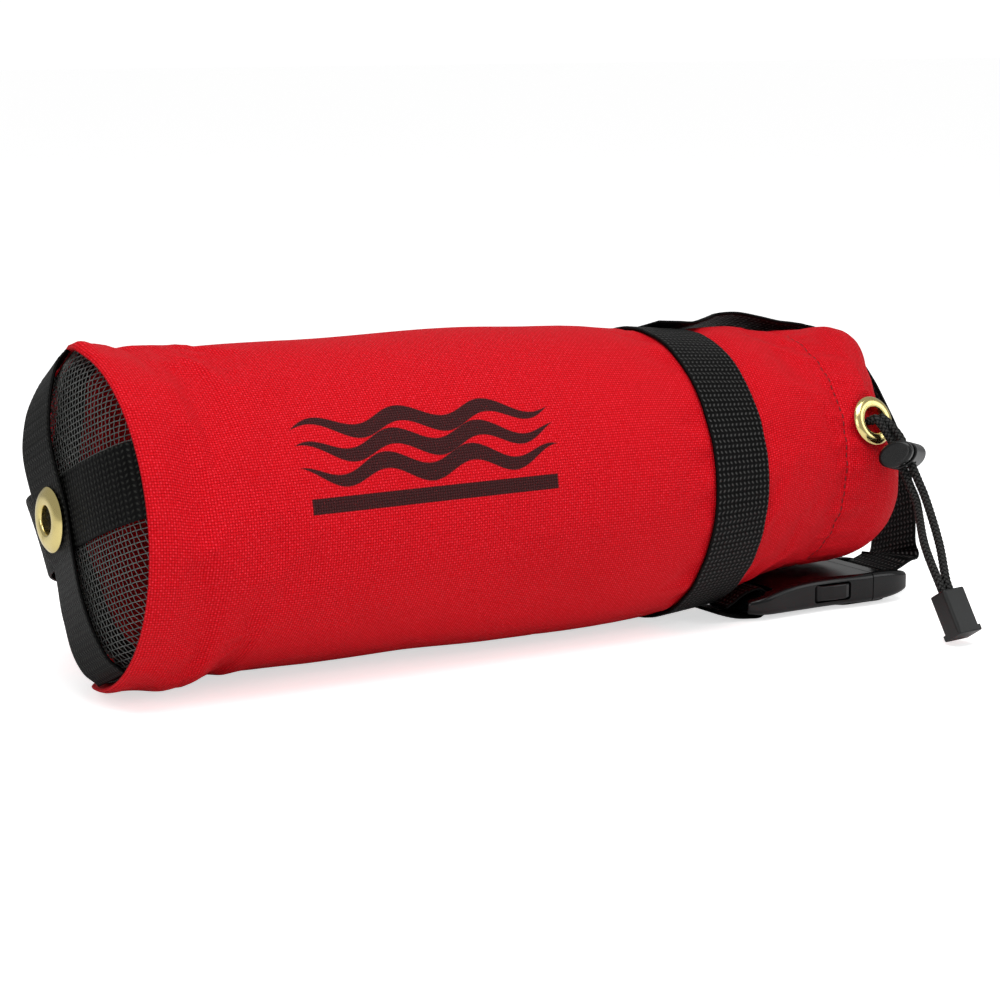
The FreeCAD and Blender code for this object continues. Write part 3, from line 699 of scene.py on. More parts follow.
def plastic_material(name, base, light, rough, grain=1.0):
    """base and light are sRGB levels; grain scales the fine relief."""
    mat = Material(name)
    obj = mat.object_coords()
    fine = mat.noise(obj, scale=2600.0, detail=3.0, rough=0.6)
    patches = mat.noise(obj, scale=90.0, detail=4.0, rough=0.55)
    scratches = mat.node("ShaderNodeTexWave", wave_type="BANDS", bands_direction="DIAGONAL")
    mat.put(scratches.inputs["Vector"], obj)
    scratches.inputs["Scale"].default_value = 260.0
    scratches.inputs["Distortion"].default_value = 18.0
    scratches.inputs["Detail"].default_value = 3.0
    # raised edges are worn lighter
    geometry = mat.node("ShaderNodeNewGeometry")
    wear = mat.ramp(geometry.outputs["Pointiness"], low=0.53, high=0.62)
    worn = srgb(*(min(255, level + 14) for level in light))
    color = mat.mix(mat.mul(mat.ramp(patches, low=0.45, high=0.75), 0.45),
                    srgb(*base), srgb(*light))
    relief = mat.add(mat.mul(fine, 0.9 * grain), mat.mul(scratches.outputs["Fac"], 0.08))
    return mat.surface(
        Normal=mat.bump(relief, distance=0.00005, strength=0.5),
        Base_Color=mat.mix(mat.mul(wear, 0.25), color, worn),
        Roughness=mat.add(rough - 0.05, mat.add(mat.mul(patches, 0.12), mat.mul(fine, 0.06))),
        Specular_IOR_Level=0.34)


def steel_material(name):
    mat = Material(name)
    grain = mat.noise(mat.object_coords(), scale=1500.0, detail=3.0)
    return mat.surface(
        Normal=mat.bump(grain, distance=0.00003, strength=0.4),
        Base_Color=mat.mix(grain, srgb(150, 150, 152), srgb(190, 190, 192)),
        Metallic=1.0,
        Roughness=mat.add(0.25, mat.mul(grain, 0.15)))


def thread_material(name, dark, light):
    mat = Material(name)
    u, v, _, obj = mat.coords()
    twist_pitch = 0.0005
    twist = mat.add(mat.mul(u, 1.0), mat.mul(v, 0.6))
    twist = mat.sin(mat.mul(twist, TURN / twist_pitch))
    fuzz = mat.noise(obj, scale=5000.0)
    # painted shade and highlight: darker in the twist's grooves, lighter on its plies
    return mat.surface(
        Base_Color=mat.mix(mat.add(0.5, mat.mul(twist, 0.4)), dark, light),
        Normal=mat.bump(mat.add(twist, fuzz), distance=0.00006, strength=0.7),
        Roughness=mat.add(0.5, mat.mul(fuzz, 0.2)))


# dark is the painted shade in the weave's gaps and the tone of darker patches; light is the
# painted highlight on yarn crests and the tone of lighter slubs
CLOTH = cloth_material("red_pack_cloth", base=srgb(205, 8, 22), dark=srgb(140, 0, 4),
                       light=srgb(236, 50, 66), printed=True)
CLOTH_INSIDE = cloth_material("red_pack_cloth_inside", base=srgb(206, 20, 28),
                              dark=srgb(130, 8, 12), light=srgb(220, 36, 44), printed=False)
# crest is the painted highlight on each webbing's raised cells, weaker on the end strips
WEBBING = webbing_material("black_webbing")
WEBBING_END = webbing_material("black_webbing_end", crest=(0.024, 0.025, 0.022))
# both braids are darkened in their grooves as painted shade; the black cord's crest is a painted
# highlight
CORD = cord_material("black_cord", groove=(0.001, 0.001, 0.001), crest=(0.034, 0.034, 0.033),
                     diameter=CORD_D, carriers=CORD_CARRIERS, pitch=CORD_PITCH)
LINE = cord_material("floating_line", groove=(0.55, 0.40, 0.03), crest=(0.85, 0.66, 0.08),
                     diameter=LINE_D, carriers=LINE_CARRIERS, pitch=LINE_PITCH)
MESH = mesh_material("vinyl_mesh")
BRASS = brass_material("brass")
BUCKLE_PLASTIC = plastic_material("acetal_buckle", base=(4, 5, 6), light=(10, 12, 13),
                                  rough=0.20, grain=0.5)
LOCK_PLASTIC = plastic_material("acetal_lock", base=(8, 9, 9), light=(17, 19, 19),
                                rough=0.24, grain=0.6)
CLIP_PLASTIC = plastic_material("cord_end_plastic", base=(12, 14, 14), light=(24, 26, 26),
                                rough=0.34)
STEEL = steel_material("spring_wire")
THREAD = thread_material("hem_thread", dark=srgb(58, 8, 11), light=srgb(110, 14, 19))
TAPE = webbing_material("seam_tape", lift=0.8)

# ------------------------------------------------------------------ the bag's surface
# stations along the bag: x, height of the centre, radius (mm)
STATIONS = [
    (0.0, -1.2, 57.4), (6.0, -1.6, 58.2), (20.0, -3.6, 57.0), (60.0, -3.8, 56.8),
    (110.0, -3.7, 57.0), (150.0, -3.7, 57.0), (185.0, -4.2, 56.3), (205.0, -4.7, 55.2),
    (222.0, -5.1, 53.3), (235.0, -5.3, 52.1), (248.0, -5.2, 50.6), (257.0, -3.5, 49.6),
    (268.0, -2.4, 47.9), (278.0, -2.1, 46.4), (290.0, -2.0, 45.2), (301.0, -2.0, 45.2)]
centre_height = pchip([(x, z) for x, z, _ in STATIONS])
body_radius = pchip([(x, radius) for x, _, radius in STATIONS])
REST_Z = -59.5                           # underside of the bag where it lies flat
HEM_X = 290.0

# meridian x, radius: rim fold, body, then the rounded end with its drawn mouth turned in
RIM_FOLD = [(4.0, 55.4), (1.2, 55.9), (-0.3, 56.7), (0.3, 57.6), (2.0, 58.0)]
ROUNDED_END = [
    (301.0, 45.2), (306.0, 44.9), (310.5, 44.1), (314.5, 42.6), (318.0, 40.1), (320.8, 36.9),
    (322.9, 33.0), (324.3, 28.6), (325.1, 24.0), (325.5, 19.6), (325.6, 16.2), (325.0, 13.9),
    (323.4, 12.9), (321.0, 13.2), (318.4, 14.6)]
BODY = [(x, float(body_radius(x))) for x in np.arange(5.0, 297.0, 2.0)]
mer_x, mer_r = np.array(RIM_FOLD + BODY + ROUNDED_END).T
mer_dist = np.r_[0, np.cumsum(np.hypot(np.diff(mer_x), np.diff(mer_r)))]
DIST_END = mer_dist[-1]
DIST_BODY = float(mer_dist[len(RIM_FOLD)])


def meridian(dist):
    """distance from the rim's inner edge -> x, radius."""
    return np.interp(dist, mer_dist, mer_x), np.interp(dist, mer_dist, mer_r)


def dist_of_x(x):
    """distance along the meridian for an x on the outside of the body."""
    return np.interp(x, mer_x[3:-8], mer_dist[3:-8])


def periodic(phi, seed, harmonics):
    """random wave round the bag."""
    rng = np.random.default_rng(seed)
    out = np.zeros(np.broadcast(phi).shape)
    for k in harmonics:
        out = out + rng.normal() * np.cos(k * phi + rng.uniform(0, TURN))
    return out / math.sqrt(len(harmonics))


def field(phi, x, seed, wave_x, max_harmonic, height):
    """soft random field over angle and length, periodic in phi."""
    rng = np.random.default_rng(seed)
    out = np.zeros(np.broadcast(phi, x).shape)
    waves = 10
    for _ in range(waves):
        harmonic = rng.integers(1, max_harmonic + 1)
        freq = rng.uniform(0.3, 1.0) * wave_x
        out = out + (rng.normal() * np.cos(harmonic * phi + rng.uniform(0, 6.28))
                     * np.cos(freq * x + rng.uniform(0, 6.28)))
    return out * height / math.sqrt(waves)


def end_warp(points):
    """lean of the mesh end, which isn't square to the axis: parts of it lie towards +X."""
    points = np.array(points, float)
    y, z = points[..., 1], points[..., 2]
    far_side = 9.5 * smooth(20, 50, y)
    top = 9.0 * smooth(24, 56, z) * smooth(0, 34, y)
    below = 2.6 * smooth(-4, -30, z) * smooth(-26, 4, y) * (1 - 0.5 * smooth(-34, -48, z))
    foot = (12.0 * smooth(2, -38, z) * smooth(-5, 17, y)
            + 3.0 * smooth(-44, -55, z) * smooth(-14, 6, y))
    soft_max = sum(part ** 4 for part in (far_side, top, below, foot)) ** 0.25
    shift = soft_max * smooth(12.5, 20, np.hypot(y, z))      # none near the centre
    points[..., 0] += shift * (1 - smooth(8, 46, points[..., 0]))
    return points


def soft_floor(z, level, softness):
    """z kept above a level, with a soft bend into it."""
    above = z - level
    soft = np.log1p(np.exp(np.clip(above / softness, -40, 40))) * softness
    return level + np.where(above > 4, above, soft)


# The next functions add in place to swell (outwards) and shift (towards +X), in mm.
def add_body_folds(swell, phi, x):
    body = smooth(8, 30, x) * (1 - smooth(196, 216, x))
    swell += field(phi, x, seed=3, wave_x=0.055, max_harmonic=3, height=0.55) * body
    swell += field(phi, x, seed=11, wave_x=0.13, max_harmonic=6, height=0.24) * body
    # dimple beside the rim
    swell -= 0.7 * bell(phi, 0.5, 0.4) * bell(x, 30, 12)
    # the underside is drawn in a little beyond the foot of the rim
    swell -= 1.7 * bell(phi, 2.62, 0.55) * smooth(26, 42, x) * (1 - smooth(108, 150, x))


def add_rim_folds(swell, shift, phi, from_top, x):
    # ripples from the rim's stitching
    ripple = periodic(phi, 21, (23, 29, 31, 37, 41))
    swell += 0.26 * ripple * np.exp(-np.clip(x - 1.0, 0, None) / 8.0) * smooth(-0.5, 3, x)
    # flare at the rim's top and bottom, and fullness behind the top
    top = bell(from_top, 0.10, 0.15)
    bottom = bell(phi, 2.75, 0.45)
    swell += ((2.2 * top + 0.3 * bottom) * bell(x, 2.4, 3.4)
              + 1.3 * bell(from_top, 0.0, 0.7) * bell(x, 22, 17))
    shift += (-2.2 * top) * bell(x, 1.0, 3.6)


def add_girth_puckers(swell, phi, x):
    """puckers running out of both edges of the girth strap, and fullness beyond it."""
    low = periodic(phi, 33, (9, 13, 17, 19, 23))
    high = periodic(phi, 34, (9, 14, 18, 22, 27))
    swell += (0.45 * low * np.exp(-np.abs(x - 221.5) / 9.0) * (1 - smooth(220.5, 223.5, x))
              * smooth(190, 205, x))
    swell += (0.45 * high * np.exp(-np.abs(x - 249) / 10.0) * smooth(247.5, 251.0, x)
              * (1 - smooth(275, 288, x)))
    swell += 0.9 * bell(x, 260, 10)


def add_hem(swell, phi, x, dist):
    """sunk stitch line, waves and slight fullness beyond it."""
    swell -= 0.55 * bell(x, HEM_X, 0.8) * (dist < DIST_END * 0.93)
    swell += 0.22 * periodic(phi, 41, (15, 19, 23, 26, 31)) * bell(x, 292.5, 6.0)
    swell += 0.35 * bell(x, 297, 5)


def add_mouth(swell, shift, phi, from_top, x, radius):
    # pleats grow towards the drawn opening
    drawn = smooth(308, 325.5, x) * smooth(46, 16, radius)
    uneven = periodic(phi, 55, (12, 13, 17, 19))
    pleat = (np.sin(17 * phi + 1.3 * np.sin(2 * phi) + 0.8 * np.sin(3 * phi + 1)) * 0.75
             + uneven * 0.35)
    shift += drawn * pleat * 1.5
    swell += drawn * pleat * 0.25
    # a full corner at the top
    swell += 3.4 * bell(from_top, 0.17, 0.26) * smooth(298, 311, x) * (1 - smooth(319, 324, x))
    shift += (2.5 * bell(from_top, 0.20, 0.30) * smooth(308, 316, x)
              * (1 - smooth(322.5, 325, x) * 0.7))
    # the upper -Y side is pulled flat between the eyelet and the mouth
    near = bell(phi, 1.02, 0.50)
    shift -= 4.2 * near * smooth(301, 321, x)
    swell -= 1.2 * near * smooth(303, 316, x)
    # the lower -Y side is full
    low = bell(phi, 2.25, 0.6)
    swell += 2.4 * low * smooth(298, 314, x) * (1 - smooth(322, 326, x))
    shift += 1.6 * low * smooth(306, 320, x)
    # seat of the eyelet
    seat = np.hypot((phi - math.radians(90 - EYELET_RISE)) * 45.0, (x - EYELET_X))
    swell -= 0.35 * np.exp(-(seat / 11.0) ** 4)
    swell += 1.25 * np.exp(-(seat / 12.5) ** 6) * smooth(305.5, 311, x)


def bag_point(phi, dist, folds=None):
    """angle and distance along the bag (mm) -> point (mm, rim frame)."""
    phi, dist = np.broadcast_arrays(np.asarray(phi, float), np.asarray(dist, float))
    x, radius = meridian(dist)
    swell, shift = np.zeros(x.shape), np.zeros(x.shape)
    from_top = (phi + math.pi) % TURN - math.pi
    add_body_folds(swell, phi, x)
    add_rim_folds(swell, shift, phi, from_top, x)
    add_girth_puckers(swell, phi, x)
    add_hem(swell, phi, x, dist)
    add_mouth(swell, shift, phi, from_top, x, radius)
    if folds is not None:
        swell = swell + folds(phi, dist)
    full = radius + swell
    y = -full * np.sin(phi)
    z = centre_height(np.clip(x, 0, 301)) + full * np.cos(phi)
    z = np.where(x < 232, soft_floor(z, REST_Z, softness=1.2), z)
    # dent over the buckle
    dented = soft_floor(z, -47.95 - 7.0 * (1 - smooth(248.5, 262.0, x)), softness=0.8)
    use = smooth(8, 2.5, y) * smooth(-40, -33, y) * smooth(247, 250, x)
    z = z * (1 - use) + dented * use
    return end_warp(np.stack([x + shift, y, z], -1))


# ------------------------------------------------------------------ cloth simulation
def pin_weights(dist):
    """held at the rim, under the girth strap, along the hem and at the mouth."""
    x, _ = meridian(dist)
    pin = np.zeros(len(dist))
    pin[x < 3.0] = 1.0
    pin[(x > 222.0) & (x < 248.4)] = 1.0
    pin[(x > 288.6) & (x < 291.6)] = 0.9
    pin[dist > DIST_END - 26] = 1.0
    return pin


def simulate_bag():
    """Folds of a coarse tube of cloth blown out softly from inside, as a radial field."""
    cols, rows, last_frame = 120, 118, 26
    phi = np.linspace(0, TURN, cols, endpoint=False)
    dist = np.linspace(3.0, DIST_END - 10.0, rows)
    rest = bag_point(phi[:, None], dist[None, :])
    faces, _, _ = grid_faces(cols, rows, True, False)
    ob = make_object("sim_bag", row(rest.reshape(-1, 3)), faces)
    group = ob.vertex_groups.new(name="pin")
    for j, weight in enumerate(pin_weights(dist)):
        if weight > 0:
            group.add([i * rows + j for i in range(cols)], float(weight), "REPLACE")
    mod = ob.modifiers.new("Cloth", "CLOTH")
    for key, value in dict(
            quality=7, mass=0.25,
            tension_stiffness=22, compression_stiffness=9, shear_stiffness=6,
            bending_stiffness=0.35,
            tension_damping=8, compression_damping=8, shear_damping=8, air_damping=3,
            use_pressure=True, uniform_pressure_force=2.2,
            shrink_min=-0.022, shrink_max=-0.022,
            vertex_group_mass="pin", pin_stiffness=1.0).items():
        setattr(mod.settings, key, value)
    mod.settings.effector_weights.gravity = 0.0
    mod.collision_settings.use_self_collision = False
    mod.collision_settings.use_collision = False
    mod.point_cache.frame_start = 1
    mod.point_cache.frame_end = last_frame
    for number in range(1, last_frame + 1):
        scene.frame_set(number)
    result = ob.evaluated_get(bpy.context.evaluated_depsgraph_get()).data.vertices
    coords = np.empty(len(result) * 3, np.float32)
    result.foreach_get("co", coords)
    coords = coords.reshape(cols, rows, 3).astype(float) / MM
    coords[..., 0] -= ROW_SHIFT
    scene.frame_set(1)
    bpy.data.objects.remove(ob, do_unlink=True)
    outwards = np.stack([np.zeros_like(phi), -np.sin(phi), np.cos(phi)], -1)[:, None, :]
    radial = ((coords - rest) * outwards).sum(-1)
    if not np.isfinite(radial).all():    # guards against a solve that blew up
        radial = np.zeros_like(radial)
    radial = np.clip(radial, -4.5, 4.5) * smooth(0, 6, dist - 3.0)[None, :]
    # the mean swelling is taken off to keep the outline; the folds stay
    radial = np.clip(radial - radial.mean(0, keepdims=True), -2.6, 2.6)

    def folds(at_phi, at_dist):
        """bilinear read, faded out towards both ends."""
        col = (at_phi / TURN % 1.0) * cols
        i = np.floor(col).astype(int) % cols
        part_i = col - np.floor(col)
        place = np.clip((at_dist - dist[0]) / (dist[1] - dist[0]), 0, rows - 1.001)
        j = np.floor(place).astype(int)
        part_j = place - j
        this, following = (radial[k, j] * (1 - part_j) + radial[k, j + 1] * part_j
                           for k in (i, (i + 1) % cols))
        fade = (smooth(dist[0] + 2, dist[0] + 34, at_dist)
                * (1 - smooth(dist[-1] - 14, dist[-1] - 2, at_dist)))
        return (this * (1 - part_i) + following * part_i) * fade
    return folds


FOLDS = None
FOLDS = simulate_bag()


def surface_point(phi, dist):
    """point on the finished cloth, with its simulated folds."""
    return bag_point(phi, dist, FOLDS)


def surface_normal(phi, dist):
    turn, step = 1e-3, 0.15
    around = surface_point(phi + turn, dist) - surface_point(phi - turn, dist)
    along = surface_point(phi, dist + step) - surface_point(phi, dist - step)
    return unit(np.cross(along, around)) * -1.0


# ------------------------------------------------------------------ red body
CLOTH_THICK = 0.75
UV_RADIUS = 57.0                         # turns the angle into the weave's arc length


def build_bag():
    """the cloth's outside and its inside face."""
    hem_low, hem_high = dist_of_x(286), dist_of_x(294)
    dist = np.concatenate([
        np.linspace(0, DIST_BODY, 14, endpoint=False),
        np.linspace(DIST_BODY, hem_low, 180, endpoint=False),
        np.linspace(hem_low, hem_high, 26, endpoint=False),
        np.linspace(hem_high, DIST_END, 80)])
    phi = np.linspace(0, TURN, 420, endpoint=False)
    outer = surface_point(phi[:, None], dist[None, :])
    inner = outer - surface_normal(phi[:, None], dist[None, :]) * CLOTH_THICK
    u = (np.r_[phi, TURN] * UV_RADIUS * MM)[:, None]
    v = (np.r_[dist, dist[-1]] * MM)[None, :]
    cloth = grid_object("bag_cloth", outer, CLOTH, u, v, close_rows=True, flip=True)
    lining = grid_object("bag_lining", inner, CLOTH_INSIDE, u, v, close_rows=True)
    attach(cloth, "bag", "red_cloth", "bag_body")
    attach(lining, "bag", "red_cloth")


def build_hem_stitching():
    """a row of lock stitches as short bent threads round the hem."""
    length, gap, thick, lift = 2.3, 0.7, 0.36, 0.05
    rings, sides = 6, 6
    phi = np.linspace(0, TURN, 361)
    hem_dist = np.full_like(phi, float(dist_of_x(HEM_X)))
    points = surface_point(phi, hem_dist)
    curve, dist = catmull(points, 0.5)
    normals = unit(carry(surface_normal(phi, hem_dist), points, dist))
    part = np.linspace(0, 1, rings)
    angle = np.linspace(0, TURN, sides, endpoint=False)
    arch = np.sin(np.pi * part) ** 0.5 * thick * 0.62 - thick * 0.45 + lift
    radius = thick / 2 * (0.55 + 0.45 * np.sin(np.pi * part) ** 0.4)
    tubes = []
    start = 0.0
    while start + length < dist[-1]:
        at = start + part * length
        normal = unit(sample(at, dist, normals))
        centre = sample(at, dist, curve) + normal * arch[:, None]
        tangent = unit(np.gradient(centre, axis=0))
        side = unit(np.cross(tangent, normal))
        tubes.append((sweep(centre, np.cross(side, tangent), side, radius[:, None], angle), at))
        start += length + gap
    ob = tubes_object("hem_stitching", tubes, angle * thick / 2, THREAD)
    attach(ob, "bag", "red_cloth")


build_bag()
build_hem_stitching()


# ------------------------------------------------------------------ girth strap
def build_girth_strap():
    stand_off = 1.05                     # strap's mid-plane above the cloth
    phi = np.linspace(0, TURN, 720, endpoint=False)
    wander = 0.35 * np.sin(phi * 2 + 0.6) + 0.2 * np.sin(5 * phi)
    low, high, middle = (surface_point(phi, dist_of_x(x + wander))
                         for x in (222.5, 247.7, 235.1))
    side = unit(high - low)
    tangent = unit(np.roll(middle, -1, 0) - np.roll(middle, 1, 0))
    normal = unit(np.cross(side, tangent))
    outwards = middle - np.array([0, 0, -5.3]) - X_AXIS * middle[:, :1]
    normal = normal * np.sign((normal * outwards).sum(1, keepdims=True))
    bow = ((middle - (low + high) / 2) * normal).sum(1, keepdims=True)
    centre = (low + high) / 2 + normal * (stand_off + bow)
    half = side * (WEB_WIDTH / 2)
    ob = ribbon_object("girth_webbing", centre - half, centre + half, normal, WEBBING,
                       closed=True)
    attach(ob, "bag", "webbing", "girth_strap")


build_girth_strap()

# ------------------------------------------------------------------ straps at the buckle
STRAP_ROLL = 15.0                        # degrees the strap's plane leans towards +Y
STRAP_AXIS_Z = -2.4
BUCKLE_Y, BUCKLE_Z = -15.0, -53.6

# closure strap over the top and down past the mouth: x, height in the leaning plane
STRAP_PATH = [
    (236.0, 51.7), (241.0, 51.3), (246.0, 50.9), (250.0, 50.5), (256.0, 50.9), (263.0, 52.0),
    (270.0, 52.8), (278.0, 52.6), (287.0, 50.6), (296.0, 48.3), (304.0, 47.2), (311.5, 46.0),
    (318.0, 43.4), (324.2, 38.2), (329.4, 31.2), (333.6, 22.6), (337.4, 14.0), (341.8, 3.0),
    (345.0, -9.0), (345.2, -20.0)]
# lean of the strap along it: x, degrees
strap_roll = pchip([(230, 15), (247, 15), (256, 18), (264, 22), (280, 23), (290, 23), (304, 26),
                    (311, 28), (318, 27), (325, 24), (330, 19), (335, 15), (350, 15)])
# the other paths are x, and y and z from the buckle's centre line
INTO_PLUG = [(335.4, 0, 6.9), (331.2, 0, 5.1), (327.6, 0, 4.0), (325.4, 0, 3.6)]
TAIL_PATH = [
    (325.3, 0, 3.55), (323.4, 0, 3.2), (321.9, 0, 1.9), (321.6, 0, -1.5), (321.9, 0, -4.6),
    (323.6, 0, -5.95), (322.0, 0, -6.42), (316.0, -0.1, -6.44), (308.0, -0.2, -6.42),
    (299.0, -0.2, -6.40)]
SOCKET_PATH = [
    (244.0, 0, -2.9), (248.8, 0, -4.5), (253.5, 0, -5.7), (259.0, 0, -6.35), (264.0, 0, -6.4),
    (266.6, 0, -4.2), (266.9, 0, -0.6), (266.2, 0, 2.4), (263.4, 0, 4.2), (259.5, 0, 3.9),
    (255.3, 0, 2.6), (251.4, 0, 0.4), (247.6, 0, -1.4)]


def leaning_point(x, height, roll=STRAP_ROLL, y=None):
    """point in the strap's leaning plane; y overrides the plane's own."""
    roll = math.radians(roll)
    plane_y = height * math.sin(roll)
    return np.array([x, plane_y if y is None else y, STRAP_AXIS_Z + height * math.cos(roll)])


def buckle_points(table):
    return [np.array([x, BUCKLE_Y + y, BUCKLE_Z + z]) for x, y, z in table]


def build_closure_strap():
    """one ribbon in two pieces that meet at a joint."""
    joint = leaning_point(338.6, -45.0, y=-13.8)
    points, sides = [], []
    for x, height in STRAP_PATH:
        roll = float(strap_roll(x))
        points.append(leaning_point(x, height, roll))
        roll = math.radians(roll)
        sides.append(np.array([0, math.cos(roll), -math.sin(roll)]))
    points += [leaning_point(343.6, -30.0, y=-8.6), leaning_point(341.4, -38.4, y=-11.4), joint]
    points += buckle_points(INTO_PLUG)
    sides += [np.array([0, .985, -.17]), np.array([0, .993, -.11])]
    sides += [Y_AXIS] * (1 + len(INTO_PLUG))
    upper, lower = (ribbon_path(name, points, sides, WEBBING, facing=(0.3, 0, 1),
                                keep=(joint, after))
                    for name, after in (("closure_webbing", False),
                                        ("closure_webbing_end", True)))
    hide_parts("closure_strap_upper", "closure_strap_lower")
    row_tuple(leaning_point(331.4, 27.4))
    row_tuple(leaning_point(336.6, 16.0))
    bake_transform(upper)
    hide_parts("closure_strap_lower")
    row_tuple(joint)
    row_tuple([330.0, BUCKLE_Y, BUCKLE_Z + 4.6])
    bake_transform(lower)


def build_buckle_strap(name, table, carrier, replaced, **ribbon):
    points = buckle_points(table)
    ob = ribbon_path(name, points, [Y_AXIS] * len(points), WEBBING, thick=1.3, **ribbon)
    attach(ob, carrier, "webbing", replaced)


build_closure_strap()
build_buckle_strap("closure_webbing_tail", TAIL_PATH, "plug", "closure_strap_tail",
                   width=25.0, round_end=7.0)
build_buckle_strap("socket_webbing", SOCKET_PATH, "bag", "socket_strap")

# ------------------------------------------------------------------ mesh end
DOME_RADIUS = 55.2
# the domed end: distance from the axis, x
dome_x = pchip([(0.0, -6.2), (14.0, -6.4), (26.0, -6.1), (38.0, -4.8), (48.0, -2.2),
                (DOME_RADIUS, 1.5)])
END_ROLL = math.radians(22)
UPRIGHT = np.array([0, math.sin(END_ROLL), math.cos(END_ROLL)])     # along the upright strip
CROSS = np.array([0, -math.cos(END_ROLL), math.sin(END_ROLL)])      # along the cross strip


def dome_depth(reach):
    return dome_x(np.clip(reach, 0, DOME_RADIUS))


def dome_point(upright, cross):
    reach = np.hypot(upright, cross)
    x = dome_depth(reach) + 1.6 * smooth(50, 56, reach)
    return end_warp(x[..., None] * X_AXIS + upright[..., None] * UPRIGHT
                    + cross[..., None] * CROSS)


def build_drain_mesh():
    """two families of threads, each going over and under the other."""
    pitch, radius, wave = 1.9, 0.18, 0.16
    mesh_radius = 55.6
    angle = np.linspace(0, TURN, 5, endpoint=False)
    tubes = []
    for family, across in enumerate((CROSS, UPRIGHT)):
        for k in range(-29, 30):
            offset = k * pitch
            if abs(offset) > mesh_radius - 1.5:
                continue
            half = math.sqrt(mesh_radius * mesh_radius - offset * offset)
            # half-pitch points; the crossings are the even ones
            index = np.arange(math.ceil(-half / (pitch / 2)), math.floor(half / (pitch / 2)) + 1)
            along = index * pitch / 2
            over = np.cos(np.pi * (index / 2.0)) * (1 if (k + family) % 2 == 0 else -1)
            over = np.where(index % 2 == 0, over, 0.0)
            aside = np.full_like(along, offset)
            centre = dome_point(along, aside) if family == 0 else dome_point(aside, along)
            normal = unit(np.cross(across, unit(np.gradient(centre, axis=0))))
            normal = normal * np.sign(-(normal[:, :1]) + 1e-9)
            centre = centre + normal * (over * wave)[:, None]
            tangent = unit(np.gradient(centre, axis=0))
            side = unit(np.cross(tangent, normal))
            # flattened a little against the dome
            rings = sweep(centre, np.cross(side, tangent) * 0.9, side * 1.15, radius, angle)
            tubes.append((rings, along))
    ob = tubes_object("drain_mesh", tubes, angle * radius, MESH)
    attach(ob, "bag", "mesh", "drain_mesh_panel")


def build_end_strip(name, along, across, half_length, stand_off, bulge, replaced):
    """webbing over the dome from rim to rim; bulge gives extra height along it."""
    at = np.linspace(-half_length, half_length, 90)
    height = bulge(at) - 2.6 * smooth(50.5, 56.5, np.abs(at))    # the ends turn in at the rim
    x = dome_depth(np.abs(at))
    centre = (x - stand_off - height)[:, None] * X_AXIS + at[:, None] * along
    # the edges sit a little lower than the centre, following the dome
    half = WEB_WIDTH / 2
    drop = np.clip(dome_depth(np.hypot(at, half)) - x, 0, 3.0)[:, None] * X_AXIS * 0.45
    normal = unit(np.cross(across, unit(np.gradient(centre, axis=0))))
    normal = normal * np.sign(-normal[:, :1])
    ob = ribbon_object(name, end_warp(centre - across * half + drop),
                       end_warp(centre + across * half + drop), normal, WEBBING_END)
    attach(ob, "bag", "webbing", replaced)


def upright_bulge(at):
    return 1.4 * bell(at, 24, 13) + 0.5 * bell(at, -26, 14) - 0.2 * bell(at, 0, 8)


def cross_bulge(at):
    return 0.3 * bell(at, 26, 12) + 0.3 * bell(at, -26, 12) + 1.7 * bell(at, -36, 13)


def build_seam_tape():
    """tape round the inside of the rim."""
    centre_z, lowest = -1.6, -57.2
    count = 500
    phi = np.linspace(0, TURN, count, endpoint=False)

    def ring(x, radius):
        z = np.maximum(centre_z + radius * np.cos(phi), lowest)
        return end_warp(np.stack([np.full(count, x), -radius * np.sin(phi), z], 1))

    normal = unit(np.stack([np.zeros(count), -np.sin(phi), np.cos(phi)], 1))
    ob = ribbon_object("seam_tape", ring(3.4, 54.4), ring(14.2, 53.9), normal, TAPE, thick=0.9,
                       closed=True, relief=0.06, cells=16)
    attach(ob, "bag", "binding", "end_seam_binding")


build_drain_mesh()
build_end_strip("end_webbing_cross", CROSS, UPRIGHT, half_length=55.6, stand_off=1.0,
                bulge=cross_bulge, replaced="end_strap_cross")
build_end_strip("end_webbing_upright", UPRIGHT, CROSS, half_length=55.4, stand_off=2.62,
                bulge=upright_bulge, replaced="end_strap_upright")
build_seam_tape()


# ------------------------------------------------------------------ cords
def square_to(vec, axis):
    """unit vector of the part of vec at right angles to axis."""
    return unit(vec - axis * (vec @ axis))


MOUTH_Z = -2.0                           # height of the bag's axis at the mouth
EYELET_REACH = 45.1                      # from that axis to the eyelet
rise = math.radians(EYELET_RISE)
EYELET = np.array([EYELET_X, -EYELET_REACH * math.cos(rise),
                   MOUTH_Z + EYELET_REACH * math.sin(rise)])
EYELET_OUT = unit(np.array([0.08, -math.cos(rise), math.sin(rise)]))
EYELET_SIDE = square_to(X_AXIS, EYELET_OUT)
LOCK = np.array([307.6, -55.6, 1.6])
LOCK_CORD = unit(np.array([0.10, -0.50, -0.86]))         # the way the cords leave the lock
LOCK_PLUNGER = square_to(np.array([-0.82, -0.533, 0.211]), LOCK_CORD)
LOCK_SIDE = unit(np.cross(LOCK_CORD, LOCK_PLUNGER))
CLIP_START = np.array([299.3, -91.8, -42.8])
CLIP_END = np.array([300.1, -101.0, -57.6])
CLIP_AXIS = unit(CLIP_END - CLIP_START)
CLIP_SIDE = square_to(X_AXIS, CLIP_AXIS)
# half the distance between the two strands
EYELET_HALF, LOCK_HALF = 1.82, 1.8


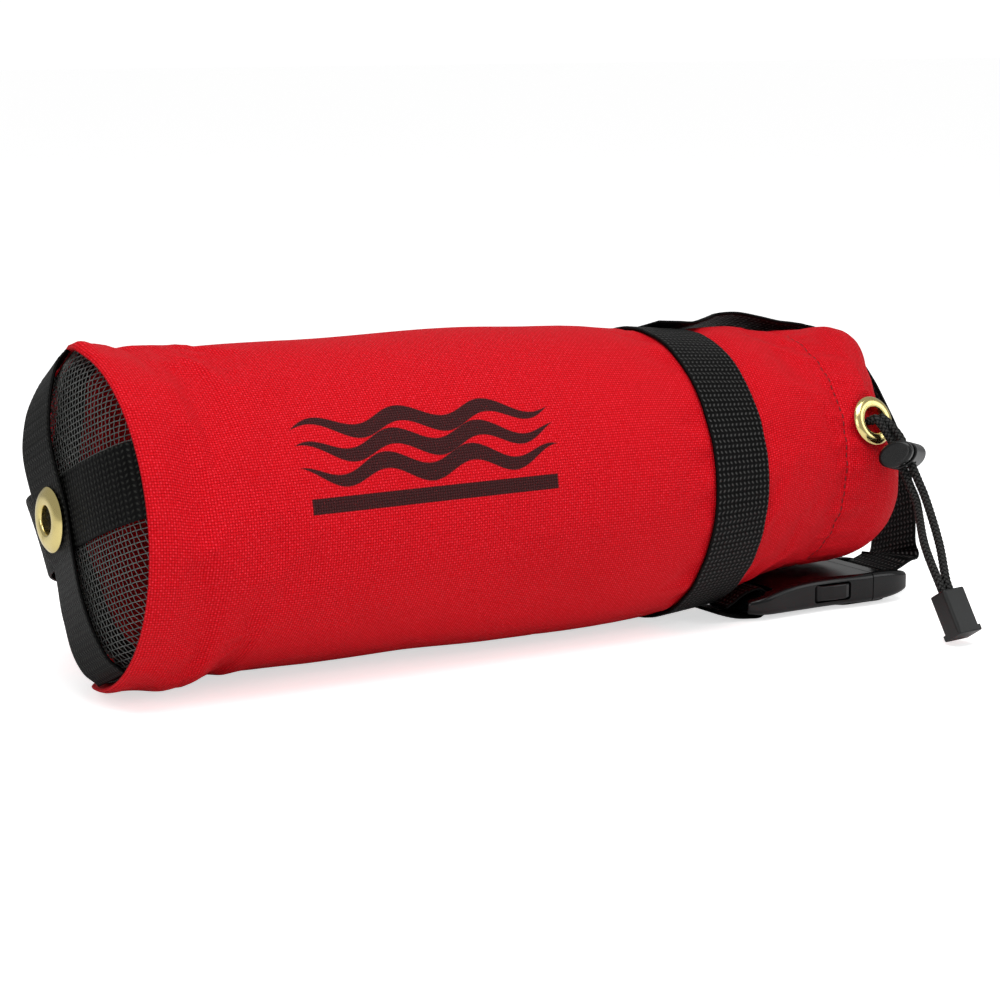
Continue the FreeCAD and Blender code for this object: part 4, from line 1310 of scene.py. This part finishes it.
def strand_path(side):
    """from the eyelet through the lock to the clip at the cord's end; side is 1 or -1."""
    path = [EYELET + EYELET_OUT * k + EYELET_SIDE * (EYELET_HALF * side)
            for k in (-0.4, 1.6, 4.3)]
    path += [LOCK + LOCK_CORD * k + LOCK_SIDE * (-LOCK_HALF * side)
             for k in (-7.0, -3.0, 1.0, 6.0, 12.0, 17.0)]
    middle = (LOCK + LOCK_CORD * 18.0 + CLIP_START) * 0.5
    path.append(middle + np.array([2.9 * side - 0.9, 0, 0.6])
                + LOCK_SIDE * (-LOCK_HALF * side * 0.25))
    path += [CLIP_START + CLIP_AXIS * k + CLIP_SIDE * (half * side)
             for k, half in ((-3.5, 1.78), (2.0, 1.76), (6.5, 1.76))]
    return path


def build_strands():
    strands = [cord_object("drawcord_strand_" + letter, strand_path(side), CORD)
               for letter, side in (("a", 1), ("b", -1))]
    for ob in strands:
        row_tuple(EYELET + EYELET_OUT * 0.2)
        row_tuple(LOCK - LOCK_CORD * 6.0)
        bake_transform(ob)
    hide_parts("drawcord_tails")


def build_lock_spring():
    """the lock's coil spring, built at one length; on the real lock it shortens as the plunger is
    pressed.
    """
    radius, start, length, steps = 2.3, -7.1, 3.2, 96
    coil = []
    for i in range(steps + 1):
        angle = 8 * math.pi * i / steps  # four turns
        coil.append(LOCK + LOCK_SIDE * (radius * math.cos(angle))
                    - LOCK_CORD * (radius * math.sin(angle))
                    + LOCK_PLUNGER * (start + length * i / steps))
    ob = cord_object("lock_spring_coil", coil, STEEL, diameter=0.5, depth=0.0, step=0.2,
                     around=12, round_ends=False)
    attach(ob, "cord_lock", "spring_steel", "cord_lock_spring")
    row_tuple(LOCK - LOCK_PLUNGER * 7.35)
    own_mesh(ob)


def build_drawcord_loop():
    """in through the eyelet, round the mouth and out again."""
    ring_x, ring_radius, steps = 319.6, 22.5, 14
    aside = EYELET_SIDE * EYELET_HALF
    path = [EYELET - EYELET_OUT * 1.4 - aside, EYELET - EYELET_OUT * 4.4 - aside,
            np.array([307.0, -34.0, 6.6]), np.array([314.5, -28.0, -1.0])]
    for i in range(steps + 1):
        angle = math.radians(200.0 + 310.0 * i / steps)
        # both ends of the loop fall back towards the eyelet
        back = 4.2 * math.exp(-((i - steps) / 2.2) ** 2) + 1.2 * math.exp(-(i / 1.5) ** 2)
        path.append(np.array([ring_x - back, ring_radius * math.cos(angle),
                              MOUTH_Z + ring_radius * math.sin(angle)]))
    path += [np.array([311.8, -24.4, 15.6]), np.array([309.4, -31.6, 16.2]),
             EYELET - EYELET_OUT * 4.6 + aside, EYELET - EYELET_OUT * 1.4 + aside]
    ob = cord_object("drawcord_loop", path, CORD, step=0.5, around=24)
    attach(ob, "bag", "cord", "drawcord_hem")


def build_packed_line():
    """the line wound in three layers inside the bag, its end led to the mouth."""
    first, pitch, turns = 104.0, 10.4, 9         # x of the first turn
    centre_z = -3.9
    far = first + pitch * (turns + 0.6)
    # radius from, radius to, x from, x to, turns
    layers = [
        (47.4, 47.4, first, first + pitch * turns, turns),
        (46.0, 37.4, far, first + pitch * (turns + 1.15), 0.5),
        (36.6, 36.6, far, first, turns + 0.6),
        (35.0, 26.6, first - 3.0, first - 5.0, 0.5),
        (25.8, 25.8, first, first + pitch * (turns + 1), turns + 1)]
    path = []
    start = 0.0
    for radius_a, radius_b, x_a, x_b, count in layers:
        steps = int(count * 12)
        for i in range(steps):
            part = i / float(steps)
            angle = start + TURN * count * part
            radius = radius_a + (radius_b - radius_a) * part
            path.append(np.array([x_a + (x_b - x_a) * part, radius * math.cos(angle),
                                  centre_z + radius * math.sin(angle)]))
        start += TURN * count
    path += [np.array(p) for p in ((216.0, 22.0, -12.0), (240.0, 6.0, -8.0),
                                   (270.0, -4.0, -2.0), (296.0, 2.0, -2.0),
                                   (309.0, 0.0, -1.6))]
    ob = cord_object("packed_line", path, LINE, diameter=LINE_D, carriers=LINE_CARRIERS,
                     pitch=LINE_PITCH, depth=0.5, step=2.2, around=20)
    attach(ob, "bag", "line", "throw_line")


build_strands()
build_lock_spring()
build_drawcord_loop()
build_packed_line()

# ------------------------------------------------------------------ CAD pieces that stay
CAD_MATERIALS = {
    "end_grommet_eyelet": BRASS, "end_grommet_washer": BRASS,
    "mouth_grommet_eyelet": BRASS, "mouth_grommet_washer": BRASS,
    "buckle_socket": BUCKLE_PLASTIC, "buckle_plug": BUCKLE_PLASTIC,
    "buckle_prong_left": BUCKLE_PLASTIC, "buckle_prong_right": BUCKLE_PLASTIC,
    "cord_lock_body": LOCK_PLASTIC, "cord_lock_plunger": LOCK_PLASTIC,
    "cord_end_sleeve": CLIP_PLASTIC, "cord_end_plug": CLIP_PLASTIC,
}
for node_name, material in CAD_MATERIALS.items():
    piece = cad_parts[node_name]
    if piece.material_slots:
        for material_slot in piece.material_slots:
            material_slot.material = material
    else:
        piece.data.materials.append(material)


# ------------------------------------------------------------------ floor, light, camera
def floor_material():
    """near white, and glowing a little to the camera only."""
    mat = Material("studio_floor")
    patches = mat.noise(mat.object_coords(), scale=3.0)
    camera_ray = mat.node("ShaderNodeLightPath").outputs["Is Camera Ray"]
    return mat.surface(
        Base_Color=mat.mix(mat.mul(patches, 0.15), grey(0.93), grey(0.90)),
        Roughness=0.9, Specular_IOR_Level=0.05,
        Emission_Color=grey(1),
        Emission_Strength=mat.mul(camera_ray, 0.62))


def build_floor():
    half, drop = 9.0, 0.0002             # half its width, gap under the lowest point (m)
    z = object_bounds()[0].z - drop
    mat = floor_material()
    mesh = bpy.data.meshes.new("floor")
    mesh.from_pydata([(-half, -half, z), (half, -half, z), (half, half, z), (-half, half, z)],
                     [], [(0, 1, 2, 3)])
    mesh.materials.append(mat)
    ob = bpy.data.objects.new("floor", mesh)
    scene.collection.objects.link(ob)


def build_world():
    """white; dimmer as a light than as the camera sees it."""
    world = bpy.data.worlds.new("studio")
    scene.world = world
    world.use_nodes = True
    tree = world.node_tree
    background = tree.nodes["Background"]
    background.inputs[0].default_value = grey(1.0)
    path = tree.nodes.new("ShaderNodeLightPath")
    strength = tree.nodes.new("ShaderNodeMapRange")
    tree.links.new(path.outputs["Is Camera Ray"], strength.inputs["Value"])
    strength.inputs["To Min"].default_value = 0.40
    strength.inputs["To Max"].default_value = 1.05
    tree.links.new(strength.outputs[0], background.inputs[1])


def area_light(name, place, target, size, power):
    """place, target and size in metres, power in watts."""
    light = bpy.data.lights.new(name, "AREA")
    light.shape = "RECTANGLE"
    light.size, light.size_y = size
    light.energy = power
    light.color = (1, 1, 1)
    ob = bpy.data.objects.new(name, light)
    scene.collection.objects.link(ob)
    ob.location = place
    ob.rotation_mode = "QUATERNION"
    ob.rotation_quaternion = (Vector(target) - Vector(place)).to_track_quat("-Z", "Y")


def build_camera():
    azimuth, elevation = math.radians(-31.76), math.radians(10.31)
    place = row_tuple([-344.841, -823.395, 166.078])
    camera = bpy.data.cameras.new("camera")
    ob = bpy.data.objects.new("camera", camera)
    scene.collection.objects.link(ob)
    back = Vector((math.sin(azimuth) * math.cos(elevation),
                   -math.cos(azimuth) * math.cos(elevation), math.sin(elevation)))
    right = Vector((math.cos(azimuth), math.sin(azimuth), 0))
    columns = zip(right, back.cross(right), back, place)
    ob.matrix_world = Matrix((*columns, (0, 0, 0, 1)))
    camera.lens = 97.2
    camera.sensor_width = 36.0
    camera.clip_start, camera.clip_end = 0.05, 50.0
    scene.camera = ob


build_floor()
build_world()
area_light("key_top", place=(0.05, -0.35, 0.95), target=(0.16, 0, 0), size=(0.9, 0.7), power=8.5)
area_light("fill_left", place=(-0.75, -0.75, 0.35), target=(0.1, 0, 0), size=(0.6, 0.6),
           power=2.6)
area_light("fill_right", place=(0.95, -0.75, 0.40), target=(0.25, 0, 0), size=(0.6, 0.6),
           power=2.2)
build_camera()
scene.view_settings.view_transform = "Standard"
scene.view_settings.look = "None"
scene.view_settings.exposure = 0.0
